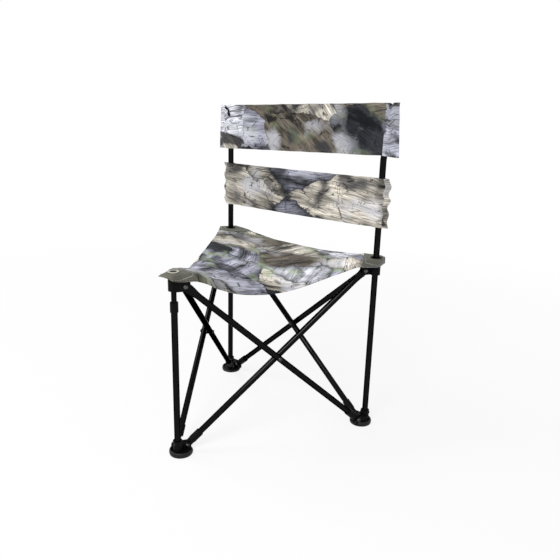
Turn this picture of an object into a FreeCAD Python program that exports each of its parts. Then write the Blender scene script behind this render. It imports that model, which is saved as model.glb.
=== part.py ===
"""Folding three leg stool with a sling seat and two back bands, as a parametric document.

The frame is an equilateral prism: three upright legs, and between each two legs a pair of
crossing braces.  The lower ends of the braces turn in the feet, the upper ends in hubs that
slide up the legs when the stool is folded.  +Z is up, the front leg stands towards -Y, and
the origin lies on the floor under the middle of the bounding box.  Lengths are in millimetres.
"""
import FreeCAD, Part
import math
import os
import Sketcher
from FreeCAD import Placement, Rotation, Vector

SIZES = (
    # the prism
    ("leg_spacing", 495, "between two leg axes"),
    ("hinge_height", 18, "lower brace hinges above the floor"),
    ("hinge_rise", 400, "upper brace hinges above the lower ones, stool open"),
    ("hinge_offset", 24, "from a leg axis to its brace hinges, along the side"),
    ("brace_offset", 8.5, "of a brace's middle plane from the side's plane"),
    # tubes
    ("tube_diameter", 15, "braces, posts and lower front leg"),
    ("tube_wall", 1.2, "of every tube"),
    ("upper_leg_diameter", 12, "sliding upper part of the front leg"),
    ("upper_leg_overlap", 249, "hidden in the lower part, stool open"),
    ("post_top", 790, "end of a post above the floor"),
    ("post_bend_height", 682, "start of the bend above the floor"),
    ("post_bend_radius", 70, "at the middle of the tube"),
    ("post_bend_angle", 8.5, "lean of the post above the bend, degrees"),
    ("post_bend_heading", 42, "way a post leans, degrees from sideways to back"),
    ("cap_thickness", 2, "plug flange on a tube end"),
    ("cap_stem", 9, "plug length inside a tube"),
    # front leg collar
    ("collar_gap", 27, "from the collar up to the front hub, stool open"),
    ("collar_length", 23, "whole collar"),
    ("collar_seat", 14, "length over the lower tube"),
    ("collar_wall", 1.8, "outside the lower tube"),
    # feet
    ("pad_radius", 27.5, "rubber pad under a foot"),
    ("pad_thickness", 5, "rubber pad under a foot"),
    ("pad_rounding", 1.8, "edges of the rubber pad"),
    ("pad_inset", 10, "pad centre from the leg axis, towards the middle"),
    ("foot_skirt_radius", 26, "foot body where it meets the pad"),
    ("foot_shoulder_radius", 20, "foot body at the top of its dome"),
    ("foot_dome_height", 4.5, "dome of the foot body"),
    ("socket_wall", 3.5, "round the leg in a foot"),
    ("socket_top", 38, "of a foot's leg socket above the floor"),
    ("pin_radius", 2, "pin through a foot's leg socket"),
    ("pin_height", 31, "of that pin above the floor"),
    # brace ends
    ("tongue_thickness", 7, "knuckle tongue at the lower end of a brace"),
    ("tongue_radius", 8, "knuckle tongue at the lower end of a brace"),
    ("knuckle_wall", 2, "round the brace in a knuckle"),
    ("knuckle_start", 16, "knuckle sleeve from its hinge"),
    ("knuckle_length", 27, "knuckle sleeve"),
    ("knuckle_floor", 5, "solid end of the knuckle sleeve"),
    ("flat_thickness", 3, "pressed upper end of a brace"),
    ("flat_width", 21, "pressed upper end of a brace"),
    ("flat_length", 14, "pressed part below the upper hinge"),
    ("flare_length", 24, "from the pressed part to the round tube"),
    # clevises
    ("foot_ear_thickness", 4, "each side of a foot's slot"),
    ("foot_ear_radius", 8.5, "round a lower hinge"),
    ("hub_ear_thickness", 5.5, "each side of a hub's slot"),
    ("hub_ear_radius", 10, "round an upper hinge"),
    ("hub_top", 28, "of a hub above its hinges"),
    ("hub_bottom", 10, "of a hub below its hinges"),
    ("hub_wall", 4.8, "round the leg in a hub"),
    # rivets
    ("rivet_radius", 3, "shank of every hinge rivet"),
    ("rivet_head_radius", 5.5, "base of a rivet head"),
    ("rivet_crown_radius", 3.2, "crown of a rivet head"),
    ("rivet_head_height", 2.4, "of a rivet head"),
    ("washer_radius", 7, "spacer between crossing braces"),
    # fabric
    ("seat_thickness", 2.2, "seat sling"),
    ("seat_reach", 33, "seat corner beyond the leg axis"),
    ("corner_half_width", 25, "half of a cut-off seat corner"),
    ("edge_outset", 10, "middle of a seat edge outside the leg axes"),
    ("right_edge_sag", 42, "middle of the seat's right edge below its corners"),
    ("left_edge_sag", 18, "middle of the seat's left edge below its corners"),
    ("rear_edge_sag", 9, "middle of the seat's rear edge below its corners"),
    ("seat_belly", 6, "middle of the seat, on top of what its edges hang"),
    ("seat_flat_radius", 42, "flat part of the seat round each leg"),
    ("seat_slope_length", 125, "from there to where the seat hangs freely"),
    ("patch_thickness", 1, "cloth patch on a seat corner"),
    ("patch_depth", 62, "patch from its outer end inwards"),
    ("grommet_rim", 4, "grommet flange outside its barrel"),
    ("grommet_wall", 1.2, "grommet barrel and flange"),
    ("band_thickness", 2.5, "back band between its sleeves"),
    ("sleeve_wall", 1.6, "band sleeve round a post"),
    ("top_band_bottom", 688, "top band's lower edge above the floor"),
    ("top_band_cover", 12, "sleeve end over a post cap"),
    ("top_band_overhang", 40, "flat end of the top band beyond a post"),
    ("low_band_bottom", 523, "lower band's lower edge above the floor"),
    ("low_band_height", 118, "lower band"),
    ("low_band_overhang", 22, "flat end of the lower band beyond a post"),
    # clearances
    ("running_gap", 0.06, "radial, at a hinge rivet"),
    ("slot_gap", 0.25, "each side of a tongue in its slot"),
    ("swing_gap", 0.8, "round the end of a tongue as it swings"),
    ("slide_gap", 0.2, "radial, where a leg slides"),
    ("soft_gap", 0.35, "between fabric and what it touches"),
)

# control points of the hanging cloth, along x and along y
CLOTH_COLUMNS = 32
CLOTH_ROWS = 28

doc = FreeCAD.newDocument("three_leg_stool")
sheet = doc.addObject("Spreadsheet::Sheet", "Sizes")
for row, (alias, size, note) in enumerate(SIZES, start=1):
    sheet.set(f"A{row}", f"{alias}: {note}")
    sheet.set(f"B{row}", str(size))
    sheet.setAlias(f"B{row}", alias)
doc.recompute()

# ---------------------------------------------------------------- shared expressions
TUBE_RADIUS = "(Sizes.tube_diameter / 2)"
TUBE_BORE = f"({TUBE_RADIUS} - Sizes.tube_wall)"
UPPER_LEG_RADIUS = "(Sizes.upper_leg_diameter / 2)"
BRACE_RUN = "(Sizes.leg_spacing - 2 * Sizes.hinge_offset)"
BRACE_LENGTH = f"sqrt({BRACE_RUN} ^ 2 + Sizes.hinge_rise ^ 2)"
BRACE_SLOPE = f"atan(Sizes.hinge_rise / {BRACE_RUN})"
KNUCKLE_RADIUS = f"({TUBE_RADIUS} + Sizes.knuckle_wall)"
BRACE_START = "(Sizes.knuckle_start + Sizes.knuckle_floor)"
FLARE_START = f"({BRACE_LENGTH} - Sizes.flat_length - Sizes.flare_length)"
FOOT_SLOT = "(Sizes.tongue_thickness + 2 * Sizes.slot_gap)"
FOOT_CLEVIS_WIDTH = f"({FOOT_SLOT} + 2 * Sizes.foot_ear_thickness)"
HUB_SLOT = "(Sizes.flat_thickness + 2 * Sizes.slot_gap)"
HUB_CLEVIS_WIDTH = f"({HUB_SLOT} + 2 * Sizes.hub_ear_thickness)"
SOCKET_RADIUS = f"({TUBE_RADIUS} + Sizes.socket_wall)"
HUB_RADIUS = f"({TUBE_RADIUS} + Sizes.hub_wall)"
FOOT_BODY_TOP = "(Sizes.pad_thickness + Sizes.foot_dome_height)"
HUB_HINGE_HEIGHT = "(Sizes.hinge_height + Sizes.hinge_rise)"
HUB_TOP_HEIGHT = f"({HUB_HINGE_HEIGHT} + Sizes.hub_top)"
RUNNING_RADIUS = "(Sizes.rivet_radius + Sizes.running_gap)"
COLLAR_TOP = f"({HUB_HINGE_HEIGHT} - Sizes.hub_bottom - Sizes.collar_gap)"
COLLAR_BOTTOM = f"({COLLAR_TOP} - Sizes.collar_length)"
COLLAR_SEAT_TOP = f"({COLLAR_BOTTOM} + Sizes.collar_seat)"

# distances from the prism's middle to a front leg and to the line of the rear legs
MIDDLE_TO_LEG = "(Sizes.leg_spacing / sqrt(3))"
MIDDLE_TO_REAR = "(Sizes.leg_spacing / sqrt(12))"
FRONT_REACH = f"({MIDDLE_TO_LEG} + Sizes.seat_reach)"
SIDE_REACH = "(Sizes.leg_spacing / 2 + Sizes.seat_reach * sqrt(3) / 2 + Sizes.corner_half_width / 2)"
REAR_REACH = f"({MIDDLE_TO_REAR} + Sizes.seat_reach / 2 + Sizes.corner_half_width * sqrt(3) / 2)"
MIDDLE_Y = f"(({FRONT_REACH} - {REAR_REACH}) / 2)"

# each leg's name, its turn about the prism's middle and its axis
LEGS = {
    "front": (0, "0", f"({MIDDLE_Y} - {MIDDLE_TO_LEG})"),
    "right": (120, "(Sizes.leg_spacing / 2)", f"({MIDDLE_Y} + {MIDDLE_TO_REAR})"),
    "left": (240, "(-Sizes.leg_spacing / 2)", f"({MIDDLE_Y} + {MIDDLE_TO_REAR})"),
}
# each side's name, the leg it starts at and the next leg round
SIDES = {"right_side": "front", "rear_side": "right", "left_side": "left"}
SIDE_TURN = 60
OTHER_SIDE_TURN = 120

nodes = []


# ---------------------------------------------------------------- small helpers
def number(expression):
    """The value of a sheet expression as a plain float."""
    found = sheet.evalExpression(expression)
    return float(getattr(found, "Value", found))


def place(item, position=("0", "0", "0"), turns=("0", "0", "0")):
    """Bind an object's place to sheet expressions; turns are yaw, pitch and roll."""
    vector = ", ".join(position)
    rotation = ", ".join(turns)
    item.setExpression("Placement", f"placement(vector({vector}), rotation({rotation}))")
    return item


def bind(item, **expressions):
    for name, expression in expressions.items():
        item.setExpression(name, expression)
    return item


def box(name, size, corner):
    item = doc.addObject("Part::Box", name)
    bind(item, Length=size[0], Width=size[1], Height=size[2])
    return place(item, corner)


def cylinder(name, radius, height, base, turns=("0", "0", "0")):
    item = doc.addObject("Part::Cylinder", name)
    bind(item, Radius=radius, Height=height)
    return place(item, base, turns)


def cone(name, radii, height, base, turns=("0", "0", "0")):
    item = doc.addObject("Part::Cone", name)
    bind(item, Radius1=radii[0], Radius2=radii[1], Height=height)
    return place(item, base, turns)


def fuse(name, shapes):
    item = doc.addObject("Part::MultiFuse", name)
    item.Shapes = shapes
    item.Refine = True
    return item


def cut(name, base, tool):
    item = doc.addObject("Part::Cut", name)
    item.Base = base
    item.Tool = tool
    return item


def group(name, shapes):
    """Separate solids that share one node."""
    item = doc.addObject("Part::Compound", name)
    item.Links = shapes
    return item


def node(item, label):
    """Give a finished sub-part its name, which also names its file."""
    item.Label = label
    nodes.append(item)
    return item


def at_leg(item, leg, height="0"):
    """Stand a sub-part drawn about the front leg's axis at one of the legs."""
    turn, axis_x, axis_y = LEGS[leg]
    return place(item, (axis_x, axis_y, height), (str(turn), "0", "0"))


def plane(body, role):
    return next(face for face in body.Origin.OriginFeatures if face.Role == role)


def sketch_on(body, name, role, offset="0"):
    sketch = body.newObject("Sketcher::SketchObject", name)
    sketch.AttachmentSupport = (plane(body, role), [""])
    sketch.MapMode = "FlatFace"
    sketch.setExpression(".AttachmentOffset.Base.z", offset)
    return sketch


def fix_point(sketch, geometry, point, across, along):
    """Hold a sketch point at two sheet expressions from the sketch's origin."""
    for kind, expression, axis in (("DistanceX", across, -2), ("DistanceY", along, -1)):
        if expression == "0":
            sketch.addConstraint(Sketcher.Constraint("PointOnObject", geometry, point, axis))
            continue
        value = number(expression)
        held = sketch.addConstraint(Sketcher.Constraint(kind, -1, 1, geometry, point, value))
        sketch.setExpression(f"Constraints[{held}]", expression)


def circle(sketch, radius, across="0", along="0"):
    centre = Vector(number(across), number(along), 0)
    drawn = sketch.addGeometry(Part.Circle(centre, Vector(0, 0, 1), number(radius)))
    fix_point(sketch, drawn, 3, across, along)
    held = sketch.addConstraint(Sketcher.Constraint("Radius", drawn, number(radius)))
    sketch.setExpression(f"Constraints[{held}]", radius)
    return drawn


def outline(sketch, corners):
    """A closed polygon whose corners are sheet expressions."""
    points = [Vector(number(across), number(along), 0) for across, along in corners]
    count = len(points)
    for index in range(count):
        sketch.addGeometry(Part.LineSegment(points[index], points[(index + 1) % count]))
    for index, (across, along) in enumerate(corners):
        following = (index + 1) % count
        sketch.addConstraint(Sketcher.Constraint("Coincident", index, 2, following, 1))
        fix_point(sketch, index, 1, across, along)


def pad(body, sketch, length, both_ways=False):
    item = body.newObject("PartDesign::Pad", f"{sketch.Name}_pad")
    item.Profile = sketch
    item.Midplane = both_ways
    item.setExpression("Length", length)
    return item


def pocket(body, sketch, depth, both_ways=False, backwards=False):
    item = body.newObject("PartDesign::Pocket", f"{sketch.Name}_pocket")
    item.Profile = sketch
    item.Midplane = both_ways
    item.Reversed = backwards
    item.setExpression("Length", depth)
    return item


def tube(name, radius, bore, length):
    """A straight tube standing on its own XY plane."""
    body = doc.addObject("PartDesign::Body", name)
    section = sketch_on(body, f"{name}_section", "XY_Plane")
    circle(section, radius)
    circle(section, bore)
    pad(body, section, length)
    return body


# ---------------------------------------------------------------- rivets and plugs
def rivet(name, length, base, turns):
    """A domed rivet along its own Z, from one head's seat to the other's."""
    shank = cylinder(f"{name}_shank", "Sizes.rivet_radius", length, ("0", "0", "0"))
    radii = ("Sizes.rivet_head_radius", "Sizes.rivet_crown_radius")
    near = cone(f"{name}_near_head", radii, "Sizes.rivet_head_height", ("0", "0", "0"), ("0", "0", "180"))
    far = cone(f"{name}_far_head", radii, "Sizes.rivet_head_height", ("0", "0", length))
    return place(fuse(name, [shank, near, far]), base, turns)


def tube_plug(name, radius, bore):
    """A flanged plug for an open tube end; its flange lies on the tube's rim."""
    stem = cylinder(f"{name}_stem", bore, "Sizes.cap_stem", ("0", "0", "-Sizes.cap_stem"))
    flange = cylinder(f"{name}_flange", radius, "Sizes.cap_thickness", ("0", "0", "0"))
    return fuse(name, [stem, flange])


# ---------------------------------------------------------------- feet
def side_frame(item, turn, height):
    return place(item, ("0", "0", height), (str(turn), "0", "0"))


def foot_clevis(name, turn):
    """Block that rises from the foot to its hinge, with a round end, beside the side's plane."""
    near_face = f"(Sizes.brace_offset - {FOOT_CLEVIS_WIDTH} / 2)"
    drop = "(Sizes.hinge_height - Sizes.pad_thickness)"
    reach = "(Sizes.hinge_offset + Sizes.foot_ear_radius)"
    base = box(f"{name}_base", (reach, FOOT_CLEVIS_WIDTH, drop), ("0", near_face, f"-{drop}"))
    cheek = box(
        f"{name}_cheek",
        ("Sizes.hinge_offset", FOOT_CLEVIS_WIDTH, "Sizes.foot_ear_radius"),
        ("0", near_face, "0"),
    )
    far_face = f"({near_face} + {FOOT_CLEVIS_WIDTH})"
    end = cylinder(
        f"{name}_end",
        "Sizes.foot_ear_radius",
        FOOT_CLEVIS_WIDTH,
        ("Sizes.hinge_offset", far_face, "0"),
        ("0", "0", "90"),
    )
    return side_frame(fuse(name, [base, cheek, end]), turn, "Sizes.hinge_height")


def foot_slot(name, turn):
    """Room for a knuckle's tongue, and the rivet's hole."""
    start = "(Sizes.hinge_offset - Sizes.tongue_radius - Sizes.swing_gap)"
    size = ("(Sizes.hinge_offset + Sizes.foot_ear_radius)", FOOT_SLOT, "Sizes.socket_top")
    corner = (start, f"(Sizes.brace_offset - {FOOT_SLOT} / 2)", "(-Sizes.tongue_radius - 0.05)")
    slot = box(f"{name}_room", size, corner)
    hole = cylinder(
        f"{name}_hole",
        "Sizes.rivet_radius",
        f"(2 * {FOOT_CLEVIS_WIDTH})",
        ("Sizes.hinge_offset", f"(Sizes.brace_offset + {FOOT_CLEVIS_WIDTH})", "0"),
        ("0", "0", "90"),
    )
    return side_frame(fuse(name, [slot, hole]), turn, "Sizes.hinge_height")


def make_foot(leg):
    name = f"{leg}_foot"
    dome = cone(
        f"{name}_dome",
        ("Sizes.foot_skirt_radius", "Sizes.foot_shoulder_radius"),
        "Sizes.foot_dome_height",
        ("0", "Sizes.pad_inset", "Sizes.pad_thickness"),
    )
    socket_height = "(Sizes.socket_top - Sizes.pad_thickness)"
    socket = cylinder(f"{name}_socket", SOCKET_RADIUS, socket_height, ("0", "0", "Sizes.pad_thickness"))
    clevises = [foot_clevis(f"{name}_clevis_{turn}", turn) for turn in (SIDE_TURN, OTHER_SIDE_TURN)]
    solid = fuse(f"{name}_solid", [dome, socket] + clevises)
    bore = cylinder(f"{name}_bore", TUBE_RADIUS, "Sizes.socket_top", ("0", "0", FOOT_BODY_TOP))
    pin_hole = cylinder(
        f"{name}_pin_hole",
        "Sizes.pin_radius",
        f"(4 * {SOCKET_RADIUS})",
        ("0", f"(2 * {SOCKET_RADIUS})", "Sizes.pin_height"),
        ("0", "0", "90"),
    )
    slots = [foot_slot(f"{name}_slot_{turn}", turn) for turn in (SIDE_TURN, OTHER_SIDE_TURN)]
    hollow = fuse(f"{name}_hollow", [bore, pin_hole] + slots)
    node(at_leg(cut(name, solid, hollow), leg), name)


def make_foot_pad(leg):
    name = f"{leg}_foot_pad"
    body = doc.addObject("PartDesign::Body", name)
    section = sketch_on(body, f"{name}_section", "XY_Plane")
    circle(section, "Sizes.pad_radius", "0", "Sizes.pad_inset")
    disc = pad(body, section, "Sizes.pad_thickness")
    doc.recompute()
    rounding = body.newObject("PartDesign::Fillet", f"{name}_rounding")
    rims = [f"Edge{i}" for i, edge in enumerate(disc.Shape.Edges, 1) if isinstance(edge.Curve, Part.Circle)]
    rounding.Base = (disc, rims)
    rounding.setExpression("Radius", "Sizes.pad_rounding")
    node(at_leg(body, leg), name)


def make_foot_rivets(leg):
    """The two hinge rivets of a foot."""
    name = f"{leg}_foot_rivets"
    far_face = f"(Sizes.brace_offset + {FOOT_CLEVIS_WIDTH} / 2)"
    pair = []
    for turn in (SIDE_TURN, OTHER_SIDE_TURN):
        across = f"(Sizes.hinge_offset * cos({turn}) - {far_face} * sin({turn}))"
        along = f"(Sizes.hinge_offset * sin({turn}) + {far_face} * cos({turn}))"
        base = (across, along, "Sizes.hinge_height")
        pair.append(rivet(f"{name}_{turn}", FOOT_CLEVIS_WIDTH, base, (str(turn), "0", "90")))
    node(at_leg(group(name, pair), leg), name)


def make_leg_pin(leg):
    """The small pin that keeps a leg in its foot."""
    name = f"{leg}_leg_pin"
    length = f"(2 * {SOCKET_RADIUS})"
    base = ("0", SOCKET_RADIUS, "0")
    shank = cylinder(f"{name}_shank", "Sizes.pin_radius", length, base, ("0", "0", "90"))
    heads = [
        pin_head(f"{name}_inner", SOCKET_RADIUS, "-90"),
        pin_head(f"{name}_outer", f"(-{SOCKET_RADIUS})", "90"),
    ]
    node(at_leg(fuse(name, [shank] + heads), leg, "Sizes.pin_height"), name)


def pin_head(name, seat, roll):
    radii = ("(1.9 * Sizes.pin_radius)", "Sizes.pin_radius")
    return cone(f"{name}_head", radii, "(0.6 * Sizes.pin_radius)", ("0", seat, "0"), ("0", "0", roll))


# ---------------------------------------------------------------- legs
def drill_for_pin(body, name, leg):
    """Cut the leg pin's hole through a tube that already stands at its leg."""
    depth = f"(4 * {TUBE_RADIUS})"
    base = ("0", f"({depth} / 2)", "0")
    drill = cylinder(f"{name}_drill", "Sizes.pin_radius", depth, base, ("0", "0", "90"))
    across = at_leg(group(f"{name}_drills", [drill]), leg, "Sizes.pin_height")
    return cut(name, body, across)


def make_lower_leg():
    name = "front_lower_leg"
    body = tube(f"{name}_tube", TUBE_RADIUS, TUBE_BORE, f"({COLLAR_SEAT_TOP} - {FOOT_BODY_TOP})")
    at_leg(body, "front", FOOT_BODY_TOP)
    node(drill_for_pin(body, name, "front"), name)


def make_upper_leg():
    """Thin tube fixed in the front hub; it slides in the lower leg and pokes up through the seat."""
    name = "front_upper_leg"
    bottom = f"({COLLAR_SEAT_TOP} - Sizes.upper_leg_overlap)"
    top = f"({HUB_TOP_HEIGHT} + Sizes.seat_thickness + Sizes.patch_thickness)"
    body = tube(name, UPPER_LEG_RADIUS, f"({UPPER_LEG_RADIUS} - Sizes.tube_wall)", f"({top} - {bottom})")
    node(at_leg(body, "front", bottom), name)
    plug = tube_plug("front_leg_plug", UPPER_LEG_RADIUS, f"({UPPER_LEG_RADIUS} - Sizes.tube_wall)")
    node(at_leg(plug, "front", top), "front_leg_plug")


def make_collar():
    name = "front_leg_collar"
    outer = f"({TUBE_RADIUS} + Sizes.collar_wall)"
    body = tube(name, outer, f"({UPPER_LEG_RADIUS} + Sizes.slide_gap)", "Sizes.collar_length")
    seat = sketch_on(body, f"{name}_seat", "XY_Plane")
    circle(seat, TUBE_RADIUS)
    pocket(body, seat, "Sizes.collar_seat", backwards=True)
    node(at_leg(body, "front", COLLAR_BOTTOM), name)


POST_LENGTH = f"(Sizes.post_top - {FOOT_BODY_TOP})"
POST_STRAIGHT = f"(Sizes.post_bend_height - {FOOT_BODY_TOP})"
BEND_RISE = "(Sizes.post_bend_radius * sin(Sizes.post_bend_angle))"
BEND_SWAY = "(Sizes.post_bend_radius * (1 - cos(Sizes.post_bend_angle)))"
LEAN_RISE = f"({POST_LENGTH} - {POST_STRAIGHT} - {BEND_RISE})"
POST_SWAY = f"({BEND_SWAY} + {LEAN_RISE} * tan(Sizes.post_bend_angle))"


def lean_heading(leg):
    """Yaw of the upright plane a post bends in: outwards and back, mirrored left to right."""
    return "Sizes.post_bend_heading" if leg == "right" else "(180 - Sizes.post_bend_heading)"


def post_path(body, name):
    """Straight tube line, tangent bend and leaning top, drawn in the body's XZ plane."""
    path = sketch_on(body, f"{name}_path", "XZ_Plane")
    straight = number(POST_STRAIGHT)
    radius = number("Sizes.post_bend_radius")
    lean = math.radians(number("Sizes.post_bend_angle"))
    bend_end = Vector(number(BEND_SWAY), straight + number(BEND_RISE), 0)
    top = Vector(number(POST_SWAY), number(POST_LENGTH), 0)
    path.addGeometry(Part.LineSegment(Vector(0, 0, 0), Vector(0, straight, 0)))
    round_part = Part.Circle(Vector(radius, straight, 0), Vector(0, 0, 1), radius)
    path.addGeometry(Part.ArcOfCircle(round_part, math.pi - lean, math.pi))
    path.addGeometry(Part.LineSegment(bend_end, top))
    path.addConstraint(Sketcher.Constraint("Coincident", 0, 2, 1, 2))
    path.addConstraint(Sketcher.Constraint("Coincident", 1, 1, 2, 1))
    fix_point(path, 0, 1, "0", "0")
    fix_point(path, 0, 2, "0", POST_STRAIGHT)
    bend = path.addConstraint(Sketcher.Constraint("Radius", 1, radius))
    path.setExpression(f"Constraints[{bend}]", "Sizes.post_bend_radius")
    fix_point(path, 2, 1, BEND_SWAY, f"({POST_STRAIGHT} + {BEND_RISE})")
    fix_point(path, 2, 2, POST_SWAY, POST_LENGTH)
    return path


def make_post(leg):
    name = f"{leg}_post"
    body = doc.addObject("PartDesign::Body", f"{name}_tube")
    section = sketch_on(body, f"{name}_section", "XY_Plane")
    circle(section, TUBE_RADIUS)
    circle(section, TUBE_BORE)
    sweep = body.newObject("PartDesign::AdditivePipe", f"{name}_sweep")
    sweep.Profile = section
    sweep.Spine = (post_path(body, name), ["Edge1", "Edge2", "Edge3"])
    axis_x, axis_y = LEGS[leg][1:]
    place(body, (axis_x, axis_y, FOOT_BODY_TOP), (lean_heading(leg), "0", "0"))
    node(drill_for_pin(body, name, leg), name)


def post_point(leg, along_lean):
    """Expressions for a point on a post's leaning axis, a distance from the post's end."""
    axis_x, axis_y = LEGS[leg][1:]
    heading = lean_heading(leg)
    sway = f"({POST_SWAY} + ({along_lean}) * sin(Sizes.post_bend_angle))"
    height = f"(Sizes.post_top + ({along_lean}) * cos(Sizes.post_bend_angle))"
    return (f"({axis_x} + {sway} * cos({heading}))", f"({axis_y} + {sway} * sin({heading}))", height)


def make_post_cap(leg):
    name = f"{leg}_post_cap"
    plug = tube_plug(name, TUBE_RADIUS, TUBE_BORE)
    turns = (lean_heading(leg), "Sizes.post_bend_angle", "0")
    node(place(plug, post_point(leg, "0"), turns), name)


# ---------------------------------------------------------------- hubs
def hub_clevis(name, turn):
    """Arm of a hub that carries one brace, rounded below and flush with the hub's top."""
    near_face = f"(-Sizes.brace_offset - {HUB_CLEVIS_WIDTH} / 2)"
    reach = "(Sizes.hinge_offset + Sizes.hub_ear_radius)"
    arm = box(f"{name}_arm", (reach, HUB_CLEVIS_WIDTH, "Sizes.hub_top"), ("0", near_face, "0"))
    web = box(
        f"{name}_web",
        ("Sizes.hinge_offset", HUB_CLEVIS_WIDTH, "Sizes.hub_bottom"),
        ("0", near_face, "(-Sizes.hub_bottom)"),
    )
    far_face = f"({near_face} + {HUB_CLEVIS_WIDTH})"
    base = ("Sizes.hinge_offset", far_face, "0")
    end = cylinder(f"{name}_end", "Sizes.hub_ear_radius", HUB_CLEVIS_WIDTH, base, ("0", "0", "90"))
    return side_frame(fuse(name, [arm, web, end]), turn, HUB_HINGE_HEIGHT)


def hub_slot(name, turn):
    """Room for the pressed end of a brace, and the rivet's hole."""
    end_radius = "(Sizes.flat_width / 2)"
    depth = "(Sizes.hub_bottom + Sizes.hub_top)"
    size = ("(Sizes.hinge_offset + Sizes.hub_ear_radius)", HUB_SLOT, depth)
    start = f"(Sizes.hinge_offset - {end_radius} - Sizes.swing_gap)"
    floor = f"({end_radius} + Sizes.swing_gap - {depth})"
    slot = box(f"{name}_room", size, (start, f"(-Sizes.brace_offset - {HUB_SLOT} / 2)", floor))
    base = ("Sizes.hinge_offset", f"({HUB_CLEVIS_WIDTH} - Sizes.brace_offset)", "0")
    hole = cylinder(f"{name}_hole", "Sizes.rivet_radius", f"(2 * {HUB_CLEVIS_WIDTH})", base, ("0", "0", "90"))
    return side_frame(fuse(name, [slot, hole]), turn, HUB_HINGE_HEIGHT)


def make_hub(leg):
    """The front hub holds the thin leg; the rear ones slide on their posts."""
    name = f"{leg}_hub"
    bore_radius = UPPER_LEG_RADIUS if leg == "front" else f"({TUBE_RADIUS} + Sizes.slide_gap)"
    bottom = f"({HUB_HINGE_HEIGHT} - Sizes.hub_bottom)"
    height = "(Sizes.hub_bottom + Sizes.hub_top)"
    sleeve = cylinder(f"{name}_sleeve", HUB_RADIUS, height, ("0", "0", bottom))
    clevises = [hub_clevis(f"{name}_clevis_{turn}", turn) for turn in (SIDE_TURN, OTHER_SIDE_TURN)]
    bore = cylinder(f"{name}_bore", bore_radius, f"(2 * {height})", ("0", "0", f"({bottom} - {height} / 2)"))
    slots = [hub_slot(f"{name}_slot_{turn}", turn) for turn in (SIDE_TURN, OTHER_SIDE_TURN)]
    solid = fuse(f"{name}_solid", [sleeve] + clevises)
    node(at_leg(cut(name, solid, fuse(f"{name}_hollow", [bore] + slots)), leg), name)


def make_hub_rivets(leg):
    """The two hinge rivets of a hub."""
    name = f"{leg}_hub_rivets"
    outer_face = f"({HUB_CLEVIS_WIDTH} / 2 - Sizes.brace_offset)"
    pair = []
    for turn in (SIDE_TURN, OTHER_SIDE_TURN):
        across = f"(Sizes.hinge_offset * cos({turn}) - {outer_face} * sin({turn}))"
        along = f"(Sizes.hinge_offset * sin({turn}) + {outer_face} * cos({turn}))"
        base = (across, along, HUB_HINGE_HEIGHT)
        pair.append(rivet(f"{name}_{turn}", HUB_CLEVIS_WIDTH, base, (str(turn), "0", "90")))
    node(at_leg(group(name, pair), leg), name)


# ---------------------------------------------------------------- braces
def brace_place(item, side, inner, along="0"):
    """Lay something drawn along a brace, from its lower hinge up, in its side of the prism.

    An inner brace starts at the side's own foot, an outer brace at the next leg's foot.
    """
    start = SIDES[side]
    order = list(LEGS)
    foot = start if inner else order[(order.index(start) + 1) % len(order)]
    turn, axis_x, axis_y = LEGS[foot]
    yaw = turn + (SIDE_TURN if inner else OTHER_SIDE_TURN)
    reach = f"(Sizes.hinge_offset + ({along}) * cos({BRACE_SLOPE}))"
    position = (
        f"({axis_x} + {reach} * cos({yaw}) - Sizes.brace_offset * sin({yaw}))",
        f"({axis_y} + {reach} * sin({yaw}) + Sizes.brace_offset * cos({yaw}))",
        f"(Sizes.hinge_height + ({along}) * sin({BRACE_SLOPE}))",
    )
    return place(item, position, (str(yaw), f"(-{BRACE_SLOPE})", "0"))


def brace_name(side, inner):
    return f"{side}_{'inner' if inner else 'outer'}_brace"


def make_brace(side, inner):
    """Tube with a pressed upper end, drawn along X from its lower hinge to its upper one."""
    name = brace_name(side, inner)
    body = doc.addObject("PartDesign::Body", name)
    section = sketch_on(body, f"{name}_section", "YZ_Plane", BRACE_START)
    circle(section, TUBE_RADIUS)
    circle(section, TUBE_BORE)
    pad(body, section, f"({FLARE_START} - {BRACE_START})")
    round_end = sketch_on(body, f"{name}_round", "YZ_Plane", FLARE_START)
    circle(round_end, TUBE_RADIUS)
    pressed_end = sketch_on(body, f"{name}_pressed", "YZ_Plane", f"({FLARE_START} + Sizes.flare_length)")
    pressed_oval(pressed_end)
    flare = body.newObject("PartDesign::AdditiveLoft", f"{name}_flare")
    flare.Profile = round_end
    flare.Sections = [pressed_end]
    plate = sketch_on(body, f"{name}_plate", "XZ_Plane")
    low, high = "(-Sizes.flat_width / 2)", "(Sizes.flat_width / 2)"
    plate_start = f"({BRACE_LENGTH} - Sizes.flat_length)"
    outline(plate, [(plate_start, low), (BRACE_LENGTH, low), (BRACE_LENGTH, high), (plate_start, high)])
    pad(body, plate, "Sizes.flat_thickness", both_ways=True)
    nose = sketch_on(body, f"{name}_nose", "XZ_Plane")
    circle(nose, "(Sizes.flat_width / 2)", BRACE_LENGTH)
    pad(body, nose, "Sizes.flat_thickness", both_ways=True)
    hinge = sketch_on(body, f"{name}_hinge_hole", "XZ_Plane")
    circle(hinge, RUNNING_RADIUS, BRACE_LENGTH)
    pocket(body, hinge, "Sizes.tube_diameter", both_ways=True)
    middle = sketch_on(body, f"{name}_middle_hole", "XZ_Plane")
    circle(middle, "Sizes.rivet_radius" if inner else RUNNING_RADIUS, f"({BRACE_LENGTH} / 2)")
    pocket(body, middle, "(2 * Sizes.tube_diameter)", both_ways=True)
    node(brace_place(body, side, inner), name)


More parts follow.
